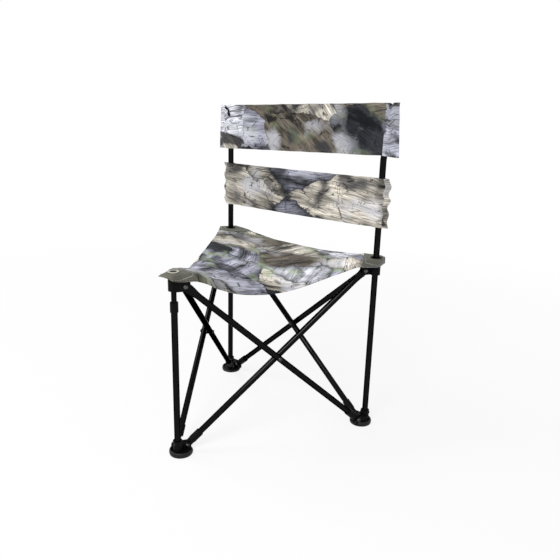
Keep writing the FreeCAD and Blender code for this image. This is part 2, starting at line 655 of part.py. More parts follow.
def pressed_oval(sketch):
    """The pressed tube's section: a flat ellipse as wide and thick as the plate."""
    half_width = number("Sizes.flat_width") / 2
    half_thickness = number("Sizes.flat_thickness") / 2
    oval = Part.Ellipse(Vector(0, half_width, 0), Vector(half_thickness, 0, 0), Vector(0, 0, 0))
    drawn = sketch.addGeometry(oval)
    sketch.exposeInternalGeometry(drawn)
    fix_point(sketch, drawn, 3, "0", "0")
    long_axis, short_axis = drawn + 1, drawn + 2
    sketch.addConstraint(Sketcher.Constraint("Vertical", long_axis))
    for axis, alias in ((long_axis, "flat_width"), (short_axis, "flat_thickness")):
        held = sketch.addConstraint(Sketcher.Constraint("Distance", axis, number(f"Sizes.{alias}")))
        sketch.setExpression(f"Constraints[{held}]", f"Sizes.{alias}")


def make_knuckle(side, inner):
    """Moulded lower end of a brace: a sleeve over the tube and a tongue for the foot's slot."""
    name = f"{brace_name(side, inner)}_knuckle"
    body = doc.addObject("PartDesign::Body", name)
    sleeve = sketch_on(body, f"{name}_sleeve", "YZ_Plane", "Sizes.knuckle_start")
    circle(sleeve, KNUCKLE_RADIUS)
    pad(body, sleeve, "Sizes.knuckle_length")
    bore = sketch_on(body, f"{name}_bore", "YZ_Plane", BRACE_START)
    circle(bore, TUBE_RADIUS)
    pocket(body, bore, "Sizes.knuckle_length", backwards=True)
    tongue = sketch_on(body, f"{name}_tongue", "XZ_Plane")
    low, high = "(-Sizes.tongue_radius)", "Sizes.tongue_radius"
    root = "(Sizes.knuckle_start + Sizes.knuckle_floor / 2)"
    outline(tongue, [("0", low), (root, low), (root, high), ("0", high)])
    pad(body, tongue, "Sizes.tongue_thickness", both_ways=True)
    nose = sketch_on(body, f"{name}_nose", "XZ_Plane")
    circle(nose, "Sizes.tongue_radius")
    pad(body, nose, "Sizes.tongue_thickness", both_ways=True)
    hinge = sketch_on(body, f"{name}_hinge_hole", "XZ_Plane")
    circle(hinge, RUNNING_RADIUS)
    pocket(body, hinge, "(2 * Sizes.tongue_thickness)", both_ways=True)
    node(brace_place(body, side, inner), name)


def make_crossing(side):
    """Rivet through both braces of a side and the washer that keeps them apart."""
    half_stack = f"(Sizes.brace_offset + {TUBE_RADIUS})"
    name = f"{side}_cross_rivet"
    shift = ("0", f"({half_stack} - Sizes.brace_offset)", "0")
    pin = rivet(f"{name}_pin", f"(2 * {half_stack})", shift, ("0", "0", "90"))
    middle = f"({BRACE_LENGTH} / 2)"
    node(brace_place(group(name, [pin]), side, True, middle), name)

    name = f"{side}_cross_washer"
    thickness = f"(2 * (Sizes.brace_offset - {TUBE_RADIUS} - Sizes.running_gap))"
    washer = tube(f"{name}_ring", "Sizes.washer_radius", "Sizes.rivet_radius", thickness)
    place(washer, ("0", f"({thickness} / 2 - Sizes.brace_offset)", "0"), ("0", "0", "90"))
    node(brace_place(group(name, [washer]), side, True, middle), name)


# ---------------------------------------------------------------- fabric and its fittings
GROMMET_BORE = f"({TUBE_RADIUS} + Sizes.soft_gap)"
GROMMET_BARREL = f"({GROMMET_BORE} + Sizes.grommet_wall)"
SEAT_BOTTOM = f"({HUB_TOP_HEIGHT} + Sizes.soft_gap)"
PATCH_BOTTOM = f"({SEAT_BOTTOM} + Sizes.seat_thickness + Sizes.soft_gap)"
GROMMET_TOP = f"({PATCH_BOTTOM} + Sizes.patch_thickness + Sizes.soft_gap)"


def make_grommet(leg):
    """Metal eyelet round a leg, standing on the hub, with its rim over the fabric."""
    name = f"{leg}_seat_grommet"
    barrel_height = f"({GROMMET_TOP} - {HUB_TOP_HEIGHT})"
    barrel = cylinder(f"{name}_barrel", GROMMET_BARREL, barrel_height, ("0", "0", "0"))
    rim_radius = f"({GROMMET_BARREL} + Sizes.grommet_rim)"
    rim = cylinder(f"{name}_rim", rim_radius, "Sizes.grommet_wall", ("0", "0", barrel_height))
    bore = cylinder(f"{name}_bore", GROMMET_BORE, f"(3 * {barrel_height})", ("0", "0", f"(-{barrel_height})"))
    ring = cut(name, fuse(f"{name}_solid", [barrel, rim]), bore)
    node(at_leg(ring, leg, HUB_TOP_HEIGHT), name)


def fabric(name, face, thickness, height):
    """A flat soft piece: a face drawn in the floor plane, thickened upwards."""
    item = doc.addObject("Part::Feature", name)
    item.Shape = face.extrude(Vector(0, 0, number(thickness)))
    item.Placement = Placement(Vector(0, 0, number(height)), Rotation())
    return node(item, name)


def leg_point(leg, sideways, outwards):
    """A point of the floor plane, given from a leg's axis."""
    turn, axis_x, axis_y = LEGS[leg]
    offset = Rotation(Vector(0, 0, 1), turn).multVec(Vector(sideways, -outwards, 0))
    return Vector(number(axis_x), number(axis_y), 0) + offset


def disc_at(leg, radius):
    ring = Part.Circle(leg_point(leg, 0, 0), Vector(0, 0, 1), radius)
    return Part.Face(Part.Wire(ring.toShape()))


def seat_drop(point, axes):
    """How far the seat hangs below its corners at a point of the plan."""
    triangle_height = number("(Sizes.leg_spacing * sqrt(3) / 2)")
    flat_radius = number("Sizes.seat_flat_radius")
    slope_length = number("Sizes.seat_slope_length")
    middle = Vector(0, number(MIDDLE_Y), 0)
    share = {}
    free = 1
    for leg, axis in axes.items():
        inwards = (middle - axis).normalize()
        share[leg] = 1 - (point - axis).dot(inwards) / triangle_height
        step = min(max(((point - axis).Length - flat_radius) / slope_length, 0), 1)
        free *= step * step * (3 - 2 * step)
    drop = 27 * number("Sizes.seat_belly") * share["front"] * share["right"] * share["left"]
    drop += 4 * number("Sizes.right_edge_sag") * share["front"] * share["right"]
    drop += 4 * number("Sizes.left_edge_sag") * share["front"] * share["left"]
    drop += 4 * number("Sizes.rear_edge_sag") * share["right"] * share["left"]
    return max(free * drop, 0)


def hanging_face():
    """A smooth face that hangs as the seat does and reaches just past it on every side."""
    margin = number("Sizes.soft_gap")
    half_wide = number(SIDE_REACH) + margin
    half_deep = number(FRONT_REACH) - number(MIDDLE_Y) + margin
    axes = {leg: leg_point(leg, 0, 0) for leg in LEGS}
    rows = []
    for column in range(CLOTH_COLUMNS):
        x = half_wide * (2 * column / (CLOTH_COLUMNS - 1) - 1)
        places = [half_deep * (2 * row / (CLOTH_ROWS - 1) - 1) for row in range(CLOTH_ROWS)]
        rows.append([Vector(x, y, -seat_drop(Vector(x, y, 0), axes)) for y in places])
    knots = [list(range(count - 2)) for count in (CLOTH_COLUMNS, CLOTH_ROWS)]
    repeats = [[4] + [1] * (len(places) - 2) + [4] for places in knots]
    surface = Part.BSplineSurface()
    surface.buildFromPolesMultsKnots(rows, *repeats, *knots, False, False, 3, 3)
    return surface.toShape()


def make_seat():
    """Sling that hangs between its cut-off corners, with edges that curve between them."""
    half_width = number("Sizes.corner_half_width")
    reach = number("Sizes.seat_reach")
    middle = Vector(0, number(MIDDLE_Y), 0)
    edge_distance = number(MIDDLE_TO_REAR) + number("Sizes.edge_outset")
    edges = []
    for leg, following in (("front", "right"), ("right", "left"), ("left", "front")):
        start = leg_point(leg, half_width, reach)
        end = leg_point(following, -half_width, reach)
        edges.append(Part.LineSegment(leg_point(leg, -half_width, reach), start).toShape())
        outwards = ((start + end) * 0.5 - middle).normalize()
        edges.append(Part.Arc(start, middle + outwards * edge_distance, end).toShape())
    sling = Part.Face(Part.Wire(edges))
    for leg in LEGS:
        hole = disc_at(leg, number(f"({GROMMET_BARREL} + Sizes.soft_gap)"))
        sling = sling.cut(hole)
    deep = number("Sizes.leg_spacing")
    outline = sling.Faces[0].extrude(Vector(0, 0, 2 * deep))
    outline.translate(Vector(0, 0, -deep))
    cloth = hanging_face().extrude(Vector(0, 0, number("Sizes.seat_thickness")))
    item = doc.addObject("Part::Feature", "seat")
    item.Shape = cloth.common(outline).Solids[0]
    item.Placement = Placement(Vector(0, 0, number(SEAT_BOTTOM)), Rotation())
    node(item, "seat")


def make_patch(leg):
    """Cloth patch sewn on a seat corner: cut off outside, round inside."""
    half_width = number("Sizes.corner_half_width")
    reach = number("Sizes.seat_reach")
    inner = reach - number("Sizes.patch_depth")
    outer_left = leg_point(leg, -half_width, reach)
    outer_right = leg_point(leg, half_width, reach)
    shoulder_right = leg_point(leg, half_width, inner / 2)
    shoulder_left = leg_point(leg, -half_width, inner / 2)
    edges = [
        Part.LineSegment(outer_left, outer_right).toShape(),
        Part.LineSegment(outer_right, shoulder_right).toShape(),
        Part.Arc(shoulder_right, leg_point(leg, 0, inner), shoulder_left).toShape(),
        Part.LineSegment(shoulder_left, outer_left).toShape(),
    ]
    hole = disc_at(leg, number(f"({GROMMET_BARREL} + Sizes.soft_gap)"))
    patch = Part.Face(Part.Wire(edges)).cut(hole)
    fabric(f"{leg}_seat_patch", patch.Faces[0], "Sizes.patch_thickness", PATCH_BOTTOM)


def lean_axis(leg):
    """A post's end and the direction of its leaning part, as vectors."""
    end = Vector(*(number(part) for part in post_point(leg, "0")))
    below = Vector(*(number(part) for part in post_point(leg, "-1")))
    return end, end - below


def band(name, starts, ends, overhang, closed):
    """Back band: a panel that reaches past both posts and has a sleeve for each of them.

    starts and ends hold each sleeve's lower and upper end, right post first.
    """
    inner = number(f"({TUBE_RADIUS} + Sizes.soft_gap)")
    outer = inner + number("Sizes.sleeve_wall")
    half_panel = number("Sizes.band_thickness") / 2
    wall = number("Sizes.sleeve_wall")
    edge = number("(Sizes.leg_spacing / 2)") + overhang
    low, high = starts[0], ends[0]
    corners = [Vector(-edge, low.y, low.z), Vector(edge, low.y, low.z)]
    corners += [Vector(edge, high.y, high.z), Vector(-edge, high.y, high.z)]
    across = (corners[2] - corners[1]).cross(corners[1] - corners[0]).normalize()
    panel = Part.Face(Part.makePolygon([c - across * half_panel for c in corners + corners[:1]]))
    solid = panel.extrude(across * (2 * half_panel))
    for low, high in zip(starts, ends):
        direction = high - low
        solid = solid.fuse(Part.makeCylinder(outer, direction.Length, low, direction))
    for low, high in zip(starts, ends):
        direction = (high - low).normalize()
        depth = (high - low).Length + (0 if closed else 2 * wall)
        solid = solid.cut(Part.makeCylinder(inner, depth, low - direction * wall, direction))
    item = doc.addObject("Part::Feature", name)
    item.Shape = solid.removeSplitter()
    item.Placement = Placement()
    node(item, name)


def make_bands():
    rear = ("right", "left")
    rise = Vector(0, 0, number("Sizes.low_band_height"))
    lift = Vector(0, 0, number("Sizes.low_band_bottom"))
    low_overhang = number("Sizes.low_band_overhang")
    starts = [leg_point(leg, 0, 0) + lift for leg in rear]
    band("lower_back_band", starts, [start + rise for start in starts], low_overhang, closed=False)
    starts = []
    ends = []
    for leg in rear:
        end, direction = lean_axis(leg)
        cover = number("(Sizes.cap_thickness + Sizes.top_band_cover)")
        ends.append(end + direction * cover)
        starts.append(end + direction * ((number("Sizes.top_band_bottom") - end.z) / direction.z))
    band("top_back_band", starts, ends, number("Sizes.top_band_overhang"), closed=True)


# ---------------------------------------------------------------- the stool
for leg in LEGS:
    make_foot(leg)
    make_foot_pad(leg)
    make_foot_rivets(leg)
    make_leg_pin(leg)
    make_hub(leg)
    make_hub_rivets(leg)
    make_grommet(leg)
make_lower_leg()
make_upper_leg()
make_collar()
for leg in ("right", "left"):
    make_post(leg)
    make_post_cap(leg)
for side in SIDES:
    for inner in (True, False):
        make_brace(side, inner)
        make_knuckle(side, inner)
    make_crossing(side)
make_seat()
for leg in LEGS:
    make_patch(leg)
make_bands()
doc.recompute()

for item in doc.Objects:
    if "Invalid" in item.State or "Error" in item.State:
        raise RuntimeError(f"{item.Label} failed: {item.State}")
for item in nodes:
    if item.Shape.isNull() or not item.Shape.isValid():
        raise RuntimeError(f"{item.Label} has no valid shape")

os.makedirs("parts", exist_ok=True)
for item in nodes:
    item.Shape.exportStep(f"parts/{item.Label}.step")
    print(f"{item.Label}: {len(item.Shape.Solids)} solid(s), {item.Shape.Volume / 1000:.2f} cm3")
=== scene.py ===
import math

import bpy
from mathutils import Matrix, Vector, noise


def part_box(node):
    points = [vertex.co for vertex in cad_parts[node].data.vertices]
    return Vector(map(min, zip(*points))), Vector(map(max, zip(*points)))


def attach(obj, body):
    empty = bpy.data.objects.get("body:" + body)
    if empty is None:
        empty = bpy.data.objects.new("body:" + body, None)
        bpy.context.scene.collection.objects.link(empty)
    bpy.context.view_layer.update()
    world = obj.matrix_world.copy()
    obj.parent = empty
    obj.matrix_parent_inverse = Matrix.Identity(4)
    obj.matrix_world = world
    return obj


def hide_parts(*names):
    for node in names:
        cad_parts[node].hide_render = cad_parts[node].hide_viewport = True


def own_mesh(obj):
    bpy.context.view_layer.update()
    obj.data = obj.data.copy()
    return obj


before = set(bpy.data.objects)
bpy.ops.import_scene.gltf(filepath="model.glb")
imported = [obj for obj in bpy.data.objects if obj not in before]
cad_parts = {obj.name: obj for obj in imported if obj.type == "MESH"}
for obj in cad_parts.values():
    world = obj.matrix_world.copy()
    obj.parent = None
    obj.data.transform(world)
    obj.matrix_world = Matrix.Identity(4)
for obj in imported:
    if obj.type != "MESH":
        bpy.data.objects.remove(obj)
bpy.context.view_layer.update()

bl_info = {
    "name": "Folding Three Leg Stool",
    "version": (1, 0, 0),
    "blender": (4, 5, 0),
    "location": "View3D > Sidebar > Stool",
    "description": "Builds a folding stool with a sling seat and two back bands",
    "category": "Add Mesh",
}

LEGS = ("front", "right", "left")
POST_LEGS = ("right", "left")


def middle_of(node):
    low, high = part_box(node)
    return (low + high) / 2


LEG_AXES = {leg: middle_of(f"{leg}_seat_grommet").xy for leg in LEGS}
LEG_SPACING = (LEG_AXES["right"] - LEG_AXES["left"]).length
PRISM_MIDDLE = sum(LEG_AXES.values(), Vector((0, 0))) / 3
HUB_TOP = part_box("front_hub")[1].z
LOW_BAND_FLOOR, LOW_BAND_TOP = (corner.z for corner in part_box("lower_back_band"))
TOP_BAND_FLOOR, TOP_BAND_TOP = (corner.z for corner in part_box("top_back_band"))
REAR_Y = LEG_AXES["right"].y


# ---- settings
def length(name, description, default):
    return bpy.props.FloatProperty(
        name=name, description=description, default=default, unit="LENGTH", precision=4
    )


def colour(name, description, default):
    return bpy.props.FloatVectorProperty(
        name=name, description=description, default=default, size=3, subtype="COLOR", min=0, max=1
    )


class SeatSettings(bpy.types.PropertyGroup):
    reach: length("Corner reach", "Seat corner beyond a leg's axis", 0.031)
    corner_half_width: length("Corner half width", "Half of a cut-off corner", 0.024)
    edge_outset: length("Edge outset", "Middle of an edge outside the leg axes", 0.010)
    thickness: length("Cloth thickness", "Sling cloth", 0.0016)
    rise: length("Rise", "Middle of the cloth above a hub", 0.0013)
    right_edge_sag: length("Right edge sag", "Lowest place of the right edge below the corners", 0.058)
    left_edge_sag: length("Left edge sag", "Lowest place of the left edge below the corners", 0.024)
    rear_edge_sag: length("Rear edge sag", "Lowest place of the rear edge below the corners", 0.009)
    belly: length("Belly", "Middle of the seat, on top of what its edges hang", 0.006)
    flat_radius: length("Flat radius", "Flat part of the cloth round a leg", 0.030)
    slope_length: length("Slope length", "From there to where the cloth hangs freely", 0.07)
    hub_side: length("Hub side", "Half of a hub's width, which the cloth lies flat on", 0.014)
    front_patch: length("Front patch depth", "Front patch, from the cut-off corner inwards", 0.060)
    right_patch: length("Right patch depth", "Right patch, from the cut-off corner inwards", 0.060)
    left_patch: length("Left patch depth", "Left patch, from the cut-off corner inwards", 0.076)
    droop: length("Corner droop", "Cut-off front corner below its leg's eyelet", 0.0064)


class BandSettings(bpy.types.PropertyGroup):
    thickness: length("Cloth thickness", "Band cloth", 0.0014)
    sleeve_radius: length("Sleeve radius", "Cloth round a post", 0.0088)
    top_half_width: length("Top half width", "Middle to end of the top band", 0.2875)
    top_seam: length("Top seam", "Sleeve seam of the top band, from the post", 0.040)
    low_half_width: length("Lower half width", "Middle to end of the lower band", 0.2695)
    low_seam: length("Lower seam", "Sleeve seam of the lower band, from the post", 0.023)
    ruck: length("Ruck", "Depth of the folds at the lower band's ends", 0.0035)
    tilt: length("Tilt", "Right end of the top band above its level, and the left end below", 0.009)


class FinishSettings(bpy.types.PropertyGroup):
    coating: colour("Coating", "Powder coat of the tubes", (0.009, 0.009, 0.0095))
    moulding: colour("Moulding", "Moulded nylon", (0.004, 0.004, 0.0045))
    rubber: colour("Rubber", "Foot pads", (0.004, 0.004, 0.004))
    steel: colour("Steel", "Blackened rivets", (0.11, 0.11, 0.105))
    nickel: colour("Nickel", "Seat eyelets", (0.5, 0.47, 0.4))
    patch: colour("Patch", "Corner patches", (0.098, 0.098, 0.078))


# ---- shader helpers
def add(tree, kind, inputs=None, **settings):
    """A new shader node. inputs gives a socket a value, or another node's socket to link from."""
    made = tree.nodes.new("ShaderNode" + kind)
    for name, value in settings.items():
        setattr(made, name, value)
    for name, value in (inputs or {}).items():
        if isinstance(value, bpy.types.NodeSocket):
            tree.links.new(value, made.inputs[name])
        else:
            made.inputs[name].default_value = value
    return made


def maths(tree, operation, first, second=0.0, third=0.5, clamp=False):
    values = {0: first, 1: second, 2: third}
    return add(tree, "Math", values, operation=operation, use_clamp=clamp).outputs[0]


def rgba(shade):
    """A socket as it is. A grey or a colour as the four numbers of a colour socket."""
    if isinstance(shade, bpy.types.NodeSocket):
        return shade
    return (*((shade,) * 3 if isinstance(shade, (int, float)) else shade), 1)


def ramp(tree, factor, stops, interpolation="LINEAR"):
    """A colour ramp. stops are pairs of a position and a grey or a colour."""
    node = add(tree, "ValToRGB", {"Fac": factor})
    node.color_ramp.interpolation = interpolation
    elements = node.color_ramp.elements
    while len(elements) < len(stops):
        elements.new(0.5)
    for element, (position, shade) in zip(elements, stops):
        element.position = position
        element.color = rgba(shade)
    return node.outputs["Color"]


def blend(tree, factor, first, second, mode="MIX"):
    inputs = {0: factor, 6: rgba(first), 7: rgba(second)}
    return add(tree, "Mix", inputs, data_type="RGBA", blend_type=mode).outputs[2]


def cloud(tree, place, scale, detail, roughness=0.5):
    """The value of noise at a place."""
    inputs = {"Vector": place, "Scale": scale, "Detail": detail, "Roughness": roughness}
    return add(tree, "TexNoise", inputs).outputs["Fac"]


def stretched(tree, vector, scale, turn=0.0, shift=(0, 0, 0)):
    inputs = {"Vector": vector, "Scale": scale, "Rotation": (0, 0, turn), "Location": shift}
    return add(tree, "Mapping", inputs).outputs[0]


def new_group(name, inputs, outputs):
    """A node group with its input and output nodes. inputs are names with their defaults, besides
    the place that every group starts from, and outputs are names with their kinds."""
    group = bpy.data.node_groups.new(name, "ShaderNodeTree")
    group.interface.new_socket("Vector", in_out="INPUT", socket_type="NodeSocketVector")
    for label, default in inputs.items():
        socket = group.interface.new_socket(label, in_out="INPUT", socket_type="NodeSocketFloat")
        socket.default_value = default
    for label, kind in outputs.items():
        group.interface.new_socket(label, in_out="OUTPUT", socket_type=f"NodeSocket{kind}")
    ends = [group.nodes.new(kind) for kind in ("NodeGroupInput", "NodeGroupOutput")]
    return group, ends[0].outputs, ends[1].inputs


def finish_group(group, output, values):
    for name, value in values.items():
        group.links.new(value, output[name])


def use(tree, group, inputs):
    return add(tree, "Group", inputs, node_tree=bpy.data.node_groups[group])


# ---- shared effects
LAVENDER = (0.40, 0.405, 0.49)
PALE = (0.72, 0.73, 0.80)
TAUPE = (0.145, 0.125, 0.10)
TAN = (0.36, 0.315, 0.25)
BEIGE = (0.62, 0.575, 0.50)
CHARCOAL = (0.003, 0.0038, 0.0055)
SLATE = (0.032, 0.035, 0.043)
MOSS = (0.40, 0.50, 0.28)
STITCH = (0.09, 0.09, 0.085)
PATCH_STITCH = (0.3, 0.31, 0.28)
# a stitch's share of its pitch, half of the thread's width, and how far it pulls at the cloth
STITCH_SHARE = 0.72
HALF_THREAD = 0.0005
PULL_REACH = 0.0024
# painted shade of the weave between its threads, and how much lighter the painted light makes it on them
WEAVE_GAP_PAINTED_SHADE = 0.89
WEAVE_PAINTED_LIGHT_RISE = 0.22
# the colours of the bark scales, by the tone each one starts at
SCALE_COLOURS = (
    (0, SLATE),
    (0.14, TAUPE),
    (0.28, LAVENDER),
    (0.42, TAN),
    (0.54, PALE),
    (0.68, LAVENDER),
    (0.78, BEIGE),
)


def pushed(tree, place, scale, amount, detail=2.0):
    """The place moved about by noise, to make straight borders ragged."""
    warp = add(tree, "TexNoise", {"Vector": place, "Scale": scale, "Detail": detail})
    values = {0: warp.outputs["Color"], 1: (0.5, 0.5, 0.5)}
    centred = add(tree, "VectorMath", values, operation="SUBTRACT")
    scaled = add(tree, "VectorMath", {0: centred.outputs[0], "Scale": amount}, operation="SCALE")
    return add(tree, "VectorMath", {0: place, 1: scaled.outputs[0]}).outputs[0]


def cracks(tree, place, scale, width, where):
    """Thin broken lines between cells stretched by scale, only where the mask is light."""
    inputs = {"Vector": stretched(tree, place, scale), "Scale": 1.0, "Randomness": 0.85}
    cells = add(tree, "TexVoronoi", inputs, feature="DISTANCE_TO_EDGE")
    lines = ramp(tree, cells.outputs["Distance"], [(0.0, 1.0), (width, 0.0)])
    return blend(tree, 1.0, lines, where, "MULTIPLY")


def bark_print():
    """Camouflage of bark scales: each scale has its own colour and grain direction."""
    inputs = {"Scale": 9.0, "Lightness": 0.5, "Grain Turn": 1.0, "Moss": 0.5, "Blots": 0.5}
    group, given, output = new_group("Bark Print", inputs, {"Color": "Color", "Height": "Float"})
    place = given["Vector"]
    ragged = pushed(group, pushed(group, place, 14.0, 0.045), 85.0, 0.014, 4.0)
    squeezed = stretched(group, ragged, (0.62, 1.2, 1))
    inputs = {"Vector": squeezed, "Scale": given["Scale"]}
    cells = add(group, "TexVoronoi", inputs)
    borders = add(group, "TexVoronoi", inputs, feature="DISTANCE_TO_EDGE")
    pick = add(group, "SeparateColor", {"Color": cells.outputs["Color"]})
    lightness = maths(group, "SUBTRACT", given["Lightness"], 0.5)
    tone = maths(group, "ADD", pick.outputs[0], lightness, clamp=True)
    base = ramp(group, tone, SCALE_COLOURS, "CONSTANT")
    # grain that runs its own way on each scale
    centred = maths(group, "SUBTRACT", pick.outputs[1], 0.5)
    angle = maths(group, "MULTIPLY", centred, given["Grain Turn"])
    soft = pushed(group, place, 9.0, 0.02)
    turned = add(group, "VectorRotate", {"Vector": soft, "Angle": angle}, rotation_type="Z_AXIS")
    turned = turned.outputs[0]
    broad = cloud(group, stretched(group, turned, (5, 34, 1)), 1.0, 3.0, 0.55)
    fine = cloud(group, stretched(group, turned, (22, 330, 1)), 1.0, 4.0, 0.65)
    streaks = ramp(group, broad, [(0.32, 0.05), (0.44, 0.68), (0.56, 1.18), (0.68, 1.6)])
    base = blend(group, 1.0, base, streaks, "MULTIPLY")
    base = blend(group, 0.9, base, ramp(group, fine, [(0.37, 0.36), (0.5, 1.0), (0.63, 1.36)]), "MULTIPLY")
    # soft shade that drifts across the scales
    drift = cloud(group, pushed(group, place, 20.0, 0.03), 10.0, 1.5)
    base = blend(group, ramp(group, drift, [(0.52, 0.0), (0.66, 0.6)]), base, PALE)
    base = blend(group, ramp(group, drift, [(0.36, 0.8), (0.43, 0.0)]), base, SLATE)
    # shadow under the scales' borders, soft on one side
    under = ramp(group, borders.outputs["Distance"], [(0.0, 0.9), (0.05, 0.45), (0.2, 0.0)])
    under = blend(group, 1.0, under, ramp(group, pick.outputs[2], [(0.3, 0.15), (0.7, 1.0)]), "MULTIPLY")
    base = blend(group, under, base, CHARCOAL)
    # cracks along and across the grain
    some = cloud(group, place, 26.0, 1.0)
    along = cracks(group, turned, (13, 75, 1), 0.042, ramp(group, some, [(0.47, 0.0), (0.52, 0.95)]))
    across = cracks(group, turned, (85, 26, 1), 0.036, ramp(group, some, [(0.41, 0.9), (0.45, 0.0)]))
    base = blend(group, along, base, CHARCOAL)
    base = blend(group, across, base, CHARCOAL)
    # blots and moss
    blot = cloud(group, stretched(group, ragged, (1.0, 1.5, 1), 0.4, (3, 1, 0)), 10.0, 2.0)
    blots = ramp(group, blot, [(0.56, 0.0), (0.62, 1.0)])
    base = blend(group, maths(group, "MULTIPLY", blots, given["Blots"]), base, CHARCOAL)
    green = cloud(group, stretched(group, ragged, (1, 1.6, 1), 0.2, (7, 4, 0)), 13.0, 3.0)
    spots = ramp(group, green, [(0.58, 0.0), (0.66, 1.0)])
    base = blend(group, maths(group, "MULTIPLY", spots, given["Moss"]), base, MOSS)
    finish_group(group, output, {"Color": base, "Height": fine})


def weave():
    """Plain weave: threads over and under each other, one pair to a repeat. Shade is painted shade and
    light: darker between the threads and lighter on them.
    """
    outputs = {"Height": "Float", "Shade": "Float"}
    group, given, output = new_group("Plain Weave", {"Thread": 0.0009}, outputs)
    count = maths(group, "DIVIDE", math.pi, given["Thread"])
    axes = add(group, "SeparateXYZ", {"Vector": given["Vector"]})
    across = maths(group, "SINE", maths(group, "MULTIPLY", axes.outputs[0], count))
    along = maths(group, "SINE", maths(group, "MULTIPLY", axes.outputs[1], count))
    height = maths(group, "MULTIPLY_ADD", maths(group, "MULTIPLY", across, along), 0.5, 0.5)
    # painted shade between the threads and painted light on their tops
    shade = maths(group, "MULTIPLY_ADD", height, WEAVE_PAINTED_LIGHT_RISE, WEAVE_GAP_PAINTED_SHADE)
    finish_group(group, output, {"Height": height, "Shade": shade})


def stitches():
    """Rows of thread at set distances from an edge. Vector is (along the edge, from the edge)."""
    outputs = {"Thread": "Float", "Pull": "Float"}
    group, given, output = new_group("Stitches", {"Row": 0.008, "Pitch": 0.0036}, outputs)
    axes = add(group, "SeparateXYZ", {"Vector": given["Vector"]})
    off = maths(group, "ABSOLUTE", maths(group, "SUBTRACT", axes.outputs[1], given["Row"]))
    step = maths(group, "FRACT", maths(group, "DIVIDE", axes.outputs[0], given["Pitch"]))
    on = maths(group, "LESS_THAN", step, STITCH_SHARE)
    thin = maths(group, "LESS_THAN", off, HALF_THREAD)
    pull = maths(group, "SUBTRACT", 1.0, maths(group, "DIVIDE", off, PULL_REACH), clamp=True)
    finish_group(group, output, {"Thread": maths(group, "MULTIPLY", on, thin), "Pull": pull})


def scuffs():
    """Fine scratches and dull spots from handling."""
    group, given, output = new_group("Scuffs", {"Amount": 0.5}, {"Wear": "Float", "Grain": "Float"})
    place = given["Vector"]
    patchy = ramp(group, cloud(group, place, 38.0, 4.0), [(0.5, 0.0), (0.72, 1.0)])
    line = cloud(group, stretched(group, place, (900, 900, 60)), 1.0, 2.0)
    fine = ramp(group, line, [(0.58, 0.0), (0.7, 1.0)])
    wear = maths(group, "MULTIPLY", maths(group, "MULTIPLY", patchy, fine), given["Amount"])
    finish_group(group, output, {"Wear": wear, "Grain": cloud(group, place, 1400.0, 2.0)})


# ---- materials
GRAIN_DEPTH = 0.0002
# how deep a stitch pulls the cloth in, in heights of the weave
STITCH_PULL = 2.5
# the patches' darkest and lightest shade, as shares of their colour
PATCH_SHADES = (0.72, 1.3)


def new_material(name):
    material = bpy.data.materials.new(name)
    material.use_nodes = True
    tree = material.node_tree
    return material, tree, tree.nodes["Principled BSDF"]


def bump(tree, shader, height, strength, distance):
    node = add(tree, "Bump", {"Height": height, "Strength": strength, "Distance": distance})
    tree.links.new(node.outputs[0], shader.inputs["Normal"])


def hard_material(name, shade, worn_shade, roughness, spread, metallic, amount, grain, rim=1.0, gloss=0.06):
    """Coated, moulded or plated surface with scuffs and a fine grain. spread is how far the grain
    roughens it, amount how much it is scuffed, and rim what a metal's edges reflect."""
    _, tree, shader = new_material(name)
    place = add(tree, "TexCoord").outputs["Object"]
    worn = use(tree, "Scuffs", {"Vector": place, "Amount": amount})
    tree.links.new(blend(tree, worn.outputs["Wear"], shade, worn_shade), shader.inputs["Base Color"])
    rough = maths(tree, "MULTIPLY_ADD", worn.outputs["Grain"], spread, roughness)
    tree.links.new(rough, shader.inputs["Roughness"])
    shader.inputs["Metallic"].default_value = metallic
    shader.inputs["Specular Tint"].default_value = rgba(rim)
    if not metallic:
        shader.inputs["Specular IOR Level"].default_value = gloss
    bump(tree, shader, worn.outputs["Grain"], grain, GRAIN_DEPTH)


def sewn_material(name, dyed, thread, row, stitch, stitch_share, relief, roughness):
    """Plain woven cloth with a row of stitches along its hem. dyed gives the colour at a place of
    the flat cloth, and relief is the strength and depth of the weave. Returns the shader."""
    _, tree, shader = new_material(name)
    flat, edge = (add(tree, "UVMap", uv_map=layer).outputs[0] for layer in ("Cloth", "Hem"))
    woven = use(tree, "Plain Weave", {"Vector": flat, "Thread": thread})
    sewn = use(tree, "Stitches", {"Vector": edge, "Row": row})
    # the weave's painted shade and light darken the colour between the threads and lighten it on them
    shaded = blend(tree, 1.0, dyed(tree, flat), woven.outputs["Shade"], "MULTIPLY")
    share = maths(tree, "MULTIPLY", sewn.outputs["Thread"], stitch_share)
    tree.links.new(blend(tree, share, shaded, stitch), shader.inputs["Base Color"])
    pull = maths(tree, "MULTIPLY", sewn.outputs["Pull"], STITCH_PULL)
    bump(tree, shader, maths(tree, "SUBTRACT", woven.outputs["Height"], pull), *relief)
    shader.inputs["Roughness"].default_value = roughness
    return shader


def cloth_material(name, scale, lightness, turn, moss, blots, shift, lay, depth):
    """Printed polyester. shift and lay are where and how far turned it is cut from the print."""

    def dyed(tree, flat):
        values = {"Scale": scale, "Lightness": lightness, "Grain Turn": turn, "Moss": moss, "Blots": blots}
        moved = stretched(tree, flat, (1, 1, 1), lay, shift)
        printed = use(tree, "Bark Print", {"Vector": moved, **values})
        return blend(tree, 1.0, printed.outputs["Color"], depth, "MULTIPLY")

    shader = sewn_material(
        name, dyed, thread=0.0009, row=0.008, stitch=STITCH, stitch_share=0.6,
        relief=(0.35, 0.0003), roughness=0.82,
    )
    shader.inputs["Specular IOR Level"].default_value = 0.12
    shader.inputs["Sheen Weight"].default_value = 0.05


